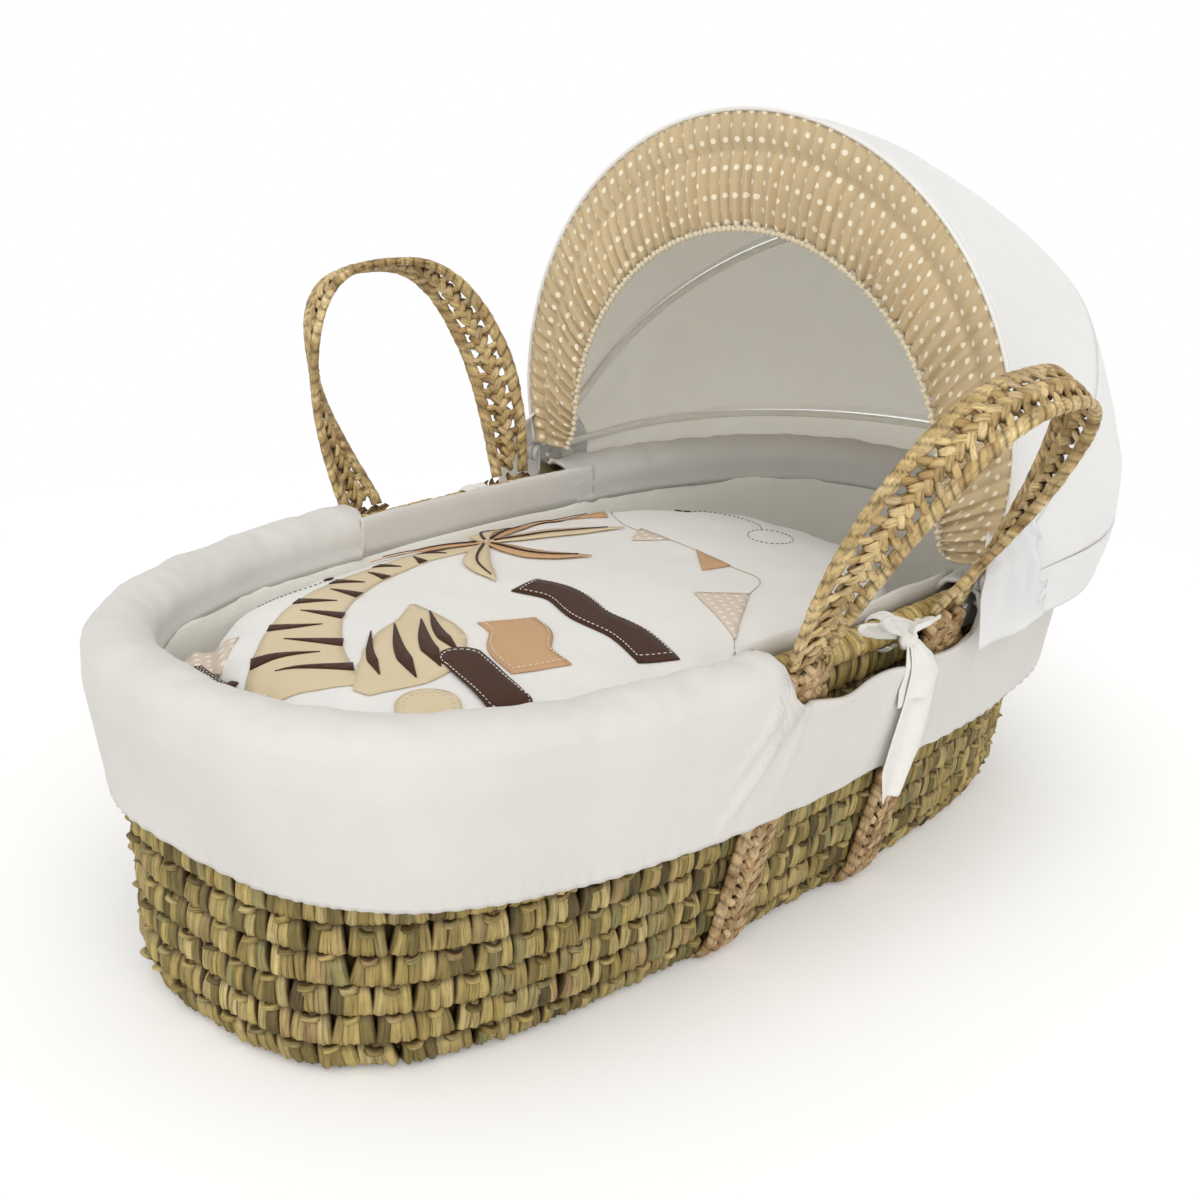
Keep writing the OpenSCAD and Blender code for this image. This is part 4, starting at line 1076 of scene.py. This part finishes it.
def cover_shell(inset, reverse):
    low = 0.052 + 0.004
    made = [cover_ring(hem_a + (cover_a - hem_a) * f - inset - skin,
                       hem_b + (cover_b - hem_b) * f - inset - skin,
                       low + (0.200 - low) * f) for f in np.linspace(0, 1, 12)[:-1]]
    for d, z in dome:
        short = min(d, cover_b - inset - 0.012)
        made.append(cover_ring(cover_a - short - inset - skin, cover_b - short - inset - skin,
                               z - inset * 0.9 - skin))
    return made[::-1] if reverse else made


cover_rows = cover_shell(0.020, True) + cover_shell(0.0, False)
faces = grid_faces(len(cover_rows), cover_count, True)
faces += [tuple(range(cover_count)),
          tuple(range((len(cover_rows) - 1) * cover_count, len(cover_rows) * cover_count))]
coverlet = mesh_piece("coverlet", np.concatenate(cover_rows), faces, coverlet_cotton)
plump(coverlet, 0.006, 0.0035)
smooth_out(coverlet)
for v in coverlet.data.vertices:
    crown = max(0.0, (v.co.z - 0.19) / 0.028)
    v.co.z += crown * (0.0022 * noise.noise(Vector((v.co.x * 8, v.co.y * 8, 1.7)))
                       + 0.0009 * noise.noise(v.co * 28))
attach(coverlet, "coverlet")
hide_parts("coverlet_cover", "coverlet_wadding")

# ---- applied shapes on the coverlet --------------------------------------------------
# Cotton shapes are sewn on: a striped palm tree, plain tapes and patches with a running stitch,
# a string of pennants and some dotted loops.
ground = BVHTree.FromObject(coverlet, bpy.context.evaluated_depsgraph_get())


def laid(x, y, over=0.0004):
    hit = ground.ray_cast(Vector((x, y, 0.4)), Vector((0, 0, -1)))[0]
    return Vector((x, y, (hit.z if hit else 0.2) + over))


def smooth_line(spots, per=14):
    """a Catmull-Rom line through the spots"""
    spots = [np.array(s, float) for s in spots]
    ends = [2 * spots[0] - spots[1], *spots, 2 * spots[-1] - spots[-2]]
    made = []
    for a, b, c, d in zip(ends, ends[1:], ends[2:], ends[3:]):
        for t in np.linspace(0, 1, per, endpoint=False):
            bent = (c - a) * t + (2 * a - 5 * b + 4 * c - d) * t * t + (3 * b - a - 3 * c + d) * t ** 3
            made.append(b + 0.5 * bent)
    return np.array(made + [spots[-1]])


def patch(name, outline, paint, over=0.0005, thick=0.0007):
    """a flat cotton shape laid on the coverlet"""
    work = bmesh.new()
    work.faces.new([work.verts.new((x, y, 0)) for x, y in outline])
    bmesh.ops.triangulate(work, faces=work.faces)
    for _ in range(5):
        long = [e for e in work.edges if e.calc_length() > 0.009]
        if not long:
            break
        bmesh.ops.subdivide_edges(work, edges=long, cuts=1)
        bmesh.ops.triangulate(work, faces=work.faces)
    bmesh.ops.recalc_face_normals(work, faces=work.faces)
    if sum(f.normal.z for f in work.faces) < 0:
        bmesh.ops.reverse_faces(work, faces=work.faces)
    layer = work.loops.layers.uv.new("strip")
    for f in work.faces:
        for corner in f.loops:
            corner[layer].uv = corner.vert.co.xy
    for v in work.verts:
        v.co = laid(v.co.x, v.co.y, over)
    mesh = bpy.data.meshes.new(name)
    work.to_mesh(mesh)
    work.free()
    mesh.materials.append(paint)
    made = bpy.data.objects.new(name, mesh)
    bpy.context.collection.objects.link(made)
    return thicken(made, thick, 1)


def band_outline(spine, widths):
    """the outline of a band along a spine"""
    d = way_of(spine)
    side = np.stack([-d[:, 1], d[:, 0]], 1)
    half = np.interp(np.linspace(0, 1, len(spine)), np.linspace(0, 1, len(widths)), widths)[:, None] / 2
    return np.concatenate([spine + side * half, (spine - side * half)[::-1]])


brown_cotton = cloth("brown_cotton", (0.060, 0.026, 0.014), sheen=0.1)
tan_cotton = cloth("tan_cotton", (0.60, 0.37, 0.20), sheen=0.1)
sand_cotton = cloth("sand_cotton", (0.72, 0.60, 0.40), sheen=0.1)
pale_dotted = cloth("pale_dotted_cotton", (0.72, 0.61, 0.50), sheen=0.1,
                    dots=(0.009, 0.0017, (0.86, 0.82, 0.75)))
thread_paint = cloth("white_thread", (0.82, 0.78, 0.68))
dark_thread = cloth("brown_thread", (0.10, 0.06, 0.04))
line_thread = cloth("olive_thread", (0.42, 0.37, 0.20))

trunk_spine = smooth_line([(-0.322, -0.015), (-0.285, 0.032), (-0.235, 0.078), (-0.175, 0.108),
                           (-0.110, 0.122), (-0.040, 0.118)])
trunk_widths = [0.075, 0.055, 0.040, 0.030, 0.022, 0.015]
patches = [patch("print_trunk", band_outline(trunk_spine, trunk_widths), sand_cotton)]
d = way_of(trunk_spine)
for k, i in enumerate(range(6, len(trunk_spine) - 5, 5)):
    width = np.interp(i / len(trunk_spine), np.linspace(0, 1, 6), trunk_widths)
    side = np.array([-d[i, 1], d[i, 0]]) * (1 if k % 2 else -1)
    edge = trunk_spine[i] + side * width / 2
    tip = edge - side * width * 0.72 + d[i] * 0.006
    wide = min(0.012, 0.3 * width + 0.002)
    patches.append(patch(f"print_bark_{k}", [edge - d[i] * wide / 2, edge + d[i] * wide / 2, tip],
                         brown_cotton, 0.0012))
crown = (-0.040, 0.118)
leaf_shapes = [((0.035, 0.148), (0.105, 0.128), tan_cotton), ((0.015, 0.105), (0.070, 0.075), sand_cotton),
               ((-0.035, 0.075), (-0.005, 0.040), tan_cotton),
               ((-0.080, 0.085), (-0.100, 0.045), sand_cotton),
               ((-0.010, 0.150), (0.050, 0.158), sand_cotton), ((-0.075, 0.145), (-0.125, 0.150), tan_cotton)]
for k, (middle, tip, paint) in enumerate(leaf_shapes):
    spine = smooth_line([crown, middle, tip])
    frond = band_outline(spine, [0.004, 0.016, 0.021, 0.015, 0.001])
    patches.append(patch(f"print_frond_{k}", frond, paint, 0.0012 + 0.0002 * k))
    rib = band_outline(spine[2:-3], [0.0022, 0.0018, 0.0006])
    patches.append(patch(f"print_rib_{k}", rib, brown_cotton, 0.0024 + 0.0002 * k))
big_spine = smooth_line([(-0.300, -0.045), (-0.250, -0.030), (-0.205, 0.005), (-0.178, 0.045)])
big_leaf = band_outline(big_spine, [0.012, 0.050, 0.066, 0.058, 0.030, 0.004])
patches.append(patch("print_big_leaf", big_leaf, sand_cotton, 0.0006))
leaf_stripes = ((-0.262, -0.052, -0.215, 0.022, 0.010), (-0.240, -0.050, -0.195, 0.018, 0.012),
                (-0.216, -0.040, -0.180, 0.026, 0.009), (-0.276, -0.034, -0.235, 0.022, 0.007))
for k, (x0, y0, x1, y1, w) in enumerate(leaf_stripes):
    spine = smooth_line([(x0, y0), ((x0 + x1) / 2 - 0.004, (y0 + y1) / 2), (x1, y1)])
    stripe = band_outline(spine, [0.0008, w, w * 0.6, 0.0008])
    patches.append(patch(f"print_big_leaf_stripe_{k}", stripe, brown_cotton, 0.0014))

stitch_lines = []


def closed(outline):
    return np.concatenate([outline, outline[:1]])


def ellipse(x, y, half_x, half_y, sides):
    turn = np.linspace(0, 2 * math.pi, sides, endpoint=False)
    return np.column_stack([x + half_x * np.cos(turn), y + half_y * np.sin(turn)])


def stitched_band(name, spots, width, paint, inset=0.0026):
    spine = smooth_line(spots)
    patches.append(patch(name, band_outline(spine, [width, width]), paint, 0.0006))
    inner = band_outline(spine[2:-2], [width - 2 * inset, width - 2 * inset])
    stitch_lines.append((closed(inner), thread_paint))


stitched_band("print_ribbon", [(-0.091, 0.026), (-0.086, -0.008), (-0.101, -0.048), (-0.104, -0.085),
                               (-0.121, -0.127)], 0.030, brown_cotton)
stitched_band("print_flag", [(-0.151, -0.018), (-0.160, -0.040), (-0.182, -0.062), (-0.193, -0.092)], 0.042,
              tan_cotton)
pill_r, half_turn = 0.0155, np.linspace(-math.pi / 2, math.pi / 2, 14)
pill = [(-0.2215 + pill_r * math.sin(a), -0.050 + pill_r * math.cos(a)) for a in half_turn]
pill += [(-0.243 - pill_r * math.sin(a), -0.112 - pill_r * math.cos(a)) for a in half_turn]
patches.append(patch("print_pill", pill, brown_cotton, 0.0019))
centre_pill = np.mean(pill, axis=0)
inner = centre_pill + (np.array(pill) - centre_pill) * [0.86, 0.93]
stitch_lines.append((closed(inner), thread_paint))
patches.append(patch("print_disc", ellipse(-0.283, -0.086, 0.020, 0.020, 28), sand_cotton, 0.0016))
stitch_lines.append((closed(ellipse(-0.283, -0.086, 0.015, 0.015, 28)), thread_paint))
patches.append(patch("print_foot_patch", [(-0.325, 0.060), (-0.296, 0.080), (-0.312, 0.108), (-0.330, 0.095)],
                     pale_dotted, 0.0005))
stitched_band("print_foot_tape", [(-0.334, 0.036), (-0.332, 0.060), (-0.327, 0.085)], 0.0085, brown_cotton,
              0.0032)

string = smooth_line([(0.158, 0.118), (0.116, 0.128), (0.079, 0.083), (0.071, 0.020), (0.060, -0.040),
                      (0.053, -0.073), (0.010, -0.093), (-0.035, -0.120), (-0.071, -0.150)])
pennants = (("print_pennant_a", [(0.085, 0.106), (0.113, 0.137), (0.070, 0.128)], tan_cotton),
            ("print_pennant_b", [(0.068, 0.000), (0.060, -0.040), (0.034, -0.034)], tan_cotton),
            ("print_pennant_c", [(0.022, -0.088), (-0.050, -0.133), (-0.012, -0.064)], pale_dotted),
            ("print_pennant_d", [(0.079, 0.066), (0.072, 0.030), (0.050, 0.050)], pale_dotted))
for name, corners, paint in pennants:
    patches.append(patch(name, corners, paint, 0.0006))
stitch_lines.append((closed(ellipse(0.145, -0.012, 0.018, 0.018, 36)), dark_thread))
stitch_lines.append((smooth_line([(0.158, 0.078), (0.170, 0.045), (0.166, 0.018), (0.153, 0.002)]),
                     dark_thread))
stitch_lines.append((smooth_line([(-0.245, 0.128), (-0.215, 0.136), (-0.185, 0.134)]), dark_thread))
for k, (x, y) in enumerate(((0.158, 0.084), (0.153, 0.089), (-0.178, 0.134))):
    patches.append(patch(f"print_dot_{k}", ellipse(x, y, 0.004, 0.0028, 14), brown_cotton, 0.0006))
shapes = {}
for piece in patches:
    shapes.setdefault(piece.data.materials[0].name, []).append(piece)
for paint_name, group in shapes.items():
    work = bmesh.new()
    for piece in group:
        work.from_mesh(piece.data)
    work.to_mesh(group[0].data)
    work.free()
    for piece in group[1:]:
        bpy.data.objects.remove(piece)
    joined = group[0]
    joined.name = "applied_" + paint_name
    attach(joined, "coverlet")

# ---- stitches ------------------------------------------------------------------------
# The patches are held by a running stitch: short raised threads at even gaps.


def stitch_unit():
    """one thread end to end, 1 long across X, lying on its back"""
    points, faces = [], []
    for x, r in ((-0.5, 0.15), (-0.42, 0.8), (-0.2, 1.0), (0.2, 1.0), (0.42, 0.8), (0.5, 0.15)):
        points += [(x, 0.00032 * r * math.cos(a), 0.00030 * r * math.sin(a))
                   for a in np.linspace(0, 2 * math.pi, 6, endpoint=False)]
    faces = grid_faces(6, 6, True) + [tuple(range(6)), tuple(range(30, 36))]
    made = mesh_piece("thread", points, faces, None)
    made.hide_render = True
    return made


thread = stitch_unit()
for paint in (thread_paint, dark_thread, line_thread):
    places, turns = [], []
    lines = [(line, 0.0042) for line, p in stitch_lines if p is paint]
    if paint is line_thread:
        lines = [(string, 0.0026)]
    for line, gap in lines:
        far = np.concatenate([[0], np.cumsum(np.hypot(*np.diff(line, axis=0).T))])
        for s in np.arange(gap / 2, far[-1], gap):
            x, y = np.interp(s, far, line[:, 0]), np.interp(s, far, line[:, 1])
            x1, y1 = np.interp(s + 0.001, far, line[:, 0]), np.interp(s + 0.001, far, line[:, 1])
            places.append(laid(x, y, 0.0028 if paint is thread_paint else 0.0004))
            turns.append((0, 0, math.atan2(y1 - y, x1 - x)))
    tree = standing_tree("running_stitch_" + paint.name, [thread], paint)
    sewn = stand("stitching_" + paint.name, places, turns, tree, Width=0.0027, Height=1.0, Lean=0.0,
                 Uneven=0.08)
    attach(sewn, "coverlet")
bpy.data.objects.remove(thread)

# ---- hood frame ----------------------------------------------------------------------
# Three coated wire hoops turn on a rivet at each side, held by steel plates screwed to the rim.
coated, tree, shader = material("coated_wire", 0.35, Coat_Weight=0.3, Coat_Roughness=0.2)
speck = speckle(tree, place_on(tree), 180.0)
colour_from(tree, shader, ramp(tree, speck, ((0.3, (0.70, 0.70, 0.68)), (0.7, (0.80, 0.80, 0.78)))))
bump_from(tree, shader, speck, 0.2, 0.0003)
steel, tree, shader = material("zinc_plate", 0.38, Metallic=1.0)
brushed = speckle(tree, place_on(tree, 60, 60, 1800), 1.0, Detail=3.0)
colour_from(tree, shader, ramp(tree, brushed, ((0.3, (0.52, 0.52, 0.51)), (0.7, (0.70, 0.70, 0.69)))))
worn = node(tree, "ShaderNodeMapRange", {"Value": brushed, "To Min": 0.28, "To Max": 0.48}).outputs[0]
tree.links.new(worn, shader.inputs["Roughness"])
for name in ("hoop_front", "hoop_middle", "hoop_back"):
    repaint(name, coated)
for name in ("hood_bracket_right", "hood_bracket_left", "hood_rivet_right", "hood_rivet_left",
             "bracket_screws"):
    repaint(name, steel)

# ---- hood cloth ----------------------------------------------------------------------
# White cotton is stretched from hoop to hoop and hangs behind the back hoop to just above the skirt.
# It is sewn round each hoop. Its lining is painted lighter and warmer than the outside: painted light
# for the shade inside the hood.
hood_cotton = cloth("hood_cotton", (0.82, 0.81, 0.785), mottle=0.04, thin=0.9)
# the lining: painted lighter and warmer than the outer cotton, as painted light for the shaded inside of the
# hood
hood_lining = cloth("hood_lining", (0.95, 0.91, 0.83), mottle=0.04, thin=0.9)
hinge = (0.122, 0.0, 0.242)
canopy_start = 0.014


def arch(foot, radius, height, start, legs=16, rounds=64):
    """points (across, up) of an arch: legs from the foot out to a half circle"""
    centre = height - radius
    z = start + (centre - start) * np.arange(legs) / legs
    leg = np.column_stack([foot + (radius - foot) * np.sin(np.pi / 2 * z / centre), z])
    a = np.linspace(0, np.pi, rounds + 1)
    top = np.column_stack([radius * np.cos(a), centre + radius * np.sin(a)])
    return np.concatenate([leg, top, leg[::-1] * [-1, 1]])


def out_of(line):
    """the way out of an arch at each of its points"""
    way = way_of(line)
    return np.column_stack([way[:, 1], -way[:, 0]])


def turned_back(spots, degrees):
    a = math.radians(degrees)
    return np.column_stack([hinge[0] + spots[:, 1] * math.sin(a), spots[:, 0],
                            hinge[2] + spots[:, 1] * math.cos(a)])


def hood_sheet(name, stations, seed, place=turned_back, crease=0.0016, rows=26):
    """cloth over stations (where, foot, radius, height), with tension folds from hoop to hoop"""
    stations = np.array(stations)
    where = np.linspace(stations[0, 0], stations[-1, 0], rows)
    values = [np.interp(where, stations[:, 0], stations[:, k]) for k in (1, 2, 3)]
    for v in values:
        for _ in range(4):
            v[1:-1] = (v[:-2] + 2 * v[1:-1] + v[2:]) / 4
    made = []
    for i, w in enumerate(where):
        f = i / (rows - 1)
        line = arch(values[0][i], values[1][i], values[2][i], canopy_start)
        out, far = out_of(line), run_of(line)
        held = math.sin(math.pi * f) ** 0.7
        wave = np.array([noise.noise(Vector((s * 26 + f * 1.2, f * 1.5, seed)))
                         + 0.5 * noise.noise(Vector((s * 70 - f * 2, f * 1.2, seed + 5))) for s in far])
        line = line + out * (crease * held * wave)[:, None]
        made.append(place(line, w))
    columns = len(made[0])
    sheet = mesh_piece(name, np.concatenate(made), grid_faces(rows, columns), hood_cotton, tidy=False)
    sheet.data.materials.append(hood_lining)
    middle = sheet.data.polygons[len(sheet.data.polygons) // 2 + columns // 2]
    if middle.normal.dot(Vector(middle.center) - Vector(hinge)) < 0:
        sheet.data.flip_normals()
    solid = sheet.modifiers.new("thickness", "SOLIDIFY")
    solid.thickness, solid.offset, solid.material_offset, solid.material_offset_rim = 0.0018, -1, 1, 0
    return settled(sheet)


front_stations = [(0.4, 0.21686, 0.229, 0.300), (12.5, 0.2189, 0.228, 0.297), (27.5, 0.2209, 0.228, 0.298),
                  (41, 0.2229, 0.227, 0.312), (49.4, 0.22386, 0.227, 0.326)]
rear_stations = [(50.4, 0.22386, 0.227, 0.326), (63.3, 0.2259, 0.230, 0.329), (76.6, 0.2289, 0.233, 0.338),
                 (87.4, 0.23086, 0.232, 0.335)]
valance_stations = [(0.0, 0.23086, 0.232, 0.335), (0.45, 0.2295, 0.2289, 0.3278), (1.0, 0.2289, 0.225, 0.319)]
canopy_front = hood_sheet("hood_canopy_front", front_stations, 2.0)
canopy_rear = hood_sheet("hood_canopy_rear", rear_stations, 9.0)


def dropped(line, share):
    spots = turned_back(line, 88.6)
    spots[:, 2] += (0.2036 - spots[:, 2]) * share
    return spots


valance = hood_sheet("hood_valance", valance_stations, 15.0, dropped, 0.0022, 14)
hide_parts("canopy_front")
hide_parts("canopy_rear")
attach(valance, "basket")
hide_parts("canopy_valance")


def fold_plane(degrees, reach):
    """two points on either side of the plane through the hinge at this angle"""
    a = math.radians(degrees)
    across = Vector((math.cos(a), 0, -math.sin(a))) * reach / 2
    middle = Vector(hinge) + Vector((math.sin(a), 0, math.cos(a))) * 0.2
    return middle + across, middle - across


start, end = fold_plane(25, 0.24)
tuple(start)
tuple(end)
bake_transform(canopy_front)
start, end = fold_plane(69, 0.19)
tuple(start)
tuple(end)
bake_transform(canopy_rear)

# Each hoop runs in a casing of the lining cotton.
casing_start, casing_round = 0.024, 0.0031
casings = (("hood_casing_middle", "hood_mid", 50, 0.21861, 0.22175, 0.32075),
           ("hood_casing_back", "basket", 88, 0.22561, 0.22675, 0.32975),
           ("hood_casing_front", "hood_front", 0, 0.21161, 0.2237, 0.29495))
for name, body, degrees, foot, radius, height in casings:
    line = arch(foot, radius, height, casing_start, 40, 140)
    out, far = out_of(line), run_of(line)
    rings = []
    for q in np.linspace(0, 2 * np.pi, 10, endpoint=False):
        wrinkle = 1 + 0.05 * np.sin(far * 700 + 2 * q)
        spots = line + out * (casing_round * wrinkle * math.cos(q))[:, None]
        ring = turned_back(spots, degrees)
        a = math.radians(degrees)
        ring += np.outer(casing_round * wrinkle * math.sin(q), (math.cos(a), 0, -math.sin(a)))
        rings.append(ring)
    casing = Strands()
    casing.add(np.stack(rings, 1), 0.5, 0.0, 10)
    casing = casing.piece(name, hood_lining)
    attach(casing, body)

# A gathered flap of the hood cotton hangs over each hinge and hides its plate.
flap_front, flap_back, flap_top, flap_low = 0.090, 0.190, 0.292, 0.2042
flap_out = abs(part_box("hood_rivet_right")[0][1]) + 0.0012
for name, side in (("hinge_flap_right", -1), ("hinge_flap_left", 1)):
    rows, across_count, down_count = [], 46, 34
    for i in range(down_count):
        v = i / (down_count - 1)
        for j in range(across_count):
            u = j / (across_count - 1)
            spread = 0.35 + 0.65 * math.sin(math.pi / 2 * min(1.0, v * 1.6 + 0.1))
            x = hinge[0] + 0.012 + (flap_front - hinge[0] - 0.012 + (flap_back - flap_front) * u) * spread
            sway = 0.004 * math.sin(5 * u + 1) * v * (1 - v)
            z = flap_top + (flap_low - flap_top) * v - 0.012 * (1 - v) * (2 * u - 1) ** 2 + sway
            turn = math.atan2(x - hinge[0], flap_top + 0.02 - z)
            sewn = 0.2185 + 0.0105 * max(u, v)
            stand_off = min(1.0, (1 - u) * 2.6) * min(1.0, v * 2.4)
            stand_off *= stand_off * (3 - 2 * stand_off)
            y = sewn + (flap_out + 0.0030 - sewn) * stand_off
            y += (0.0010 * math.sin(turn * 15 + side)
                  + 0.0012 * noise.noise(Vector((x * 60, z * 30, side)))) * stand_off
            rows.append((x, side * y, z))
    flap = mesh_piece(name, rows, [f if side < 0 else f[::-1] for f in grid_faces(down_count, across_count)],
                      hood_cotton, tidy=False)
    thicken(flap, 0.0014, 1)
    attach(flap, "basket")

# ---- gathered band -------------------------------------------------------------------
# A polka-dot band fills the mouth of the hood: sewn flat round the front hoop, gathered on an
# elastic along its inner edge, with a piping round the outside.
dotted = cloth("dotted_cotton", (0.60, 0.47, 0.285), mottle=0.10, sheen=0.15,
               dots=(0.0125, 0.00205, (0.86, 0.79, 0.62)))
band_start, band_x, seam_at = 0.012, 0.1165, 0.34
outer = arch(0.21686, 0.2292, 0.3002, band_start, 120, 700)
inner = arch(0.19286, 0.17816, 0.218, band_start, 120, 700)
columns = len(outer)
far = run_of(outer)
deep = 22
rows, flat = [], []
pleats = 2 * np.pi * far / 0.0125
warp = np.array([1.6 * noise.noise(Vector((s * 45, 0, 4))) + 2.2 * noise.noise(Vector((s * 13, 0, 8)))
                 for s in far])
strong = np.array([0.75 + 0.6 * noise.noise(Vector((s * 60, 3, 1))) for s in far])
for i in range(deep):
    f = i / (deep - 1)
    line = outer * (1 - f) + inner * f
    width = np.linalg.norm(inner - outer, axis=1)
    stitch = math.exp(-((f - seam_at) / 0.045) ** 2)
    if f < seam_at:
        cushion = 0.0026 * math.sin(math.pi * min(1, f / seam_at))
    else:
        cushion = 0.0032 * math.sin(math.pi * (f - seam_at) / 0.66) ** 0.8
    depth = (0.0010 + 0.0022 * f ** 0.8) * (1 - 0.55 * stitch)
    wave = np.sin(pleats + warp
                  + 0.25 * np.sin(f * 5 + far * 30)) + 0.35 * np.sin(2.1 * pleats + 2 * warp + f)
    x = band_x - cushion - depth * wave * strong + 0.0012 * stitch
    line = line + (inner - outer) / width[:, None] * (0.0012 * f ** 6 * np.sin(pleats * 1.5 + warp))[:, None]
    rows.append(np.column_stack([x, line[:, 0], hinge[2] + line[:, 1]]))
    flat.append(np.column_stack([far * 1.05, f * width]))
frill = mesh_piece("gathered_band", np.concatenate(rows), grid_faces(deep, columns), dotted,
                   np.concatenate(flat), tidy=False)
if frill.data.polygons[columns * deep // 2].normal.x > 0:
    frill.data.flip_normals()
thicken(frill, 0.0009)
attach(frill, "hood_front")
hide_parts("frill")

piping_line = arch(0.2186, 0.2307, 0.3017, band_start, 60, 300)
mouth_line = arch(0.1907, 0.176, 0.2158, band_start, 60, 300)
elastic_cream = cloth("elastic_cream", (0.74, 0.65, 0.47))
for name, line, size, paint, slot in (("piping", piping_line, 0.0015, tape_cotton, "frill_trim"),
                                      ("mouth_elastic", mouth_line, 0.0021, elastic_cream, "elastic")):
    out, far = out_of(line), run_of(line)
    fine = np.linspace(0, far[-1], 900)
    spot = np.column_stack([np.interp(fine, far, line[:, k]) for k in (0, 1)])
    way = np.column_stack([np.interp(fine, far, out[:, k]) for k in (0, 1)])
    q = np.linspace(0, 2 * np.pi, 10, endpoint=False)
    ruffled = name == "mouth_elastic"
    radius = size * (1 + (0.35 * np.sin(fine * 2 * np.pi / 0.0046)
                          if ruffled else 0.04 * np.sin(fine * 2 * np.pi / 0.003)))
    shift = 0.0008 * np.sin(fine * 2 * np.pi / 0.0092) if ruffled else 0 * fine
    rings = np.stack([band_x + shift[:, None] + radius[:, None] * np.sin(q),
                      spot[:, None, 0] + way[:, None, 0] * radius[:, None] * np.cos(q),
                      hinge[2] + spot[:, None, 1] + way[:, None, 1] * radius[:, None] * np.cos(q)], 2)
    trim = Strands()
    trim.add(rings, 0.5, 0.0, 10)
    piece = trim.piece("hood_" + name, paint)
    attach(piece, "hood_front")
    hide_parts("hood_piping" if name == "piping" else "frill_elastic")
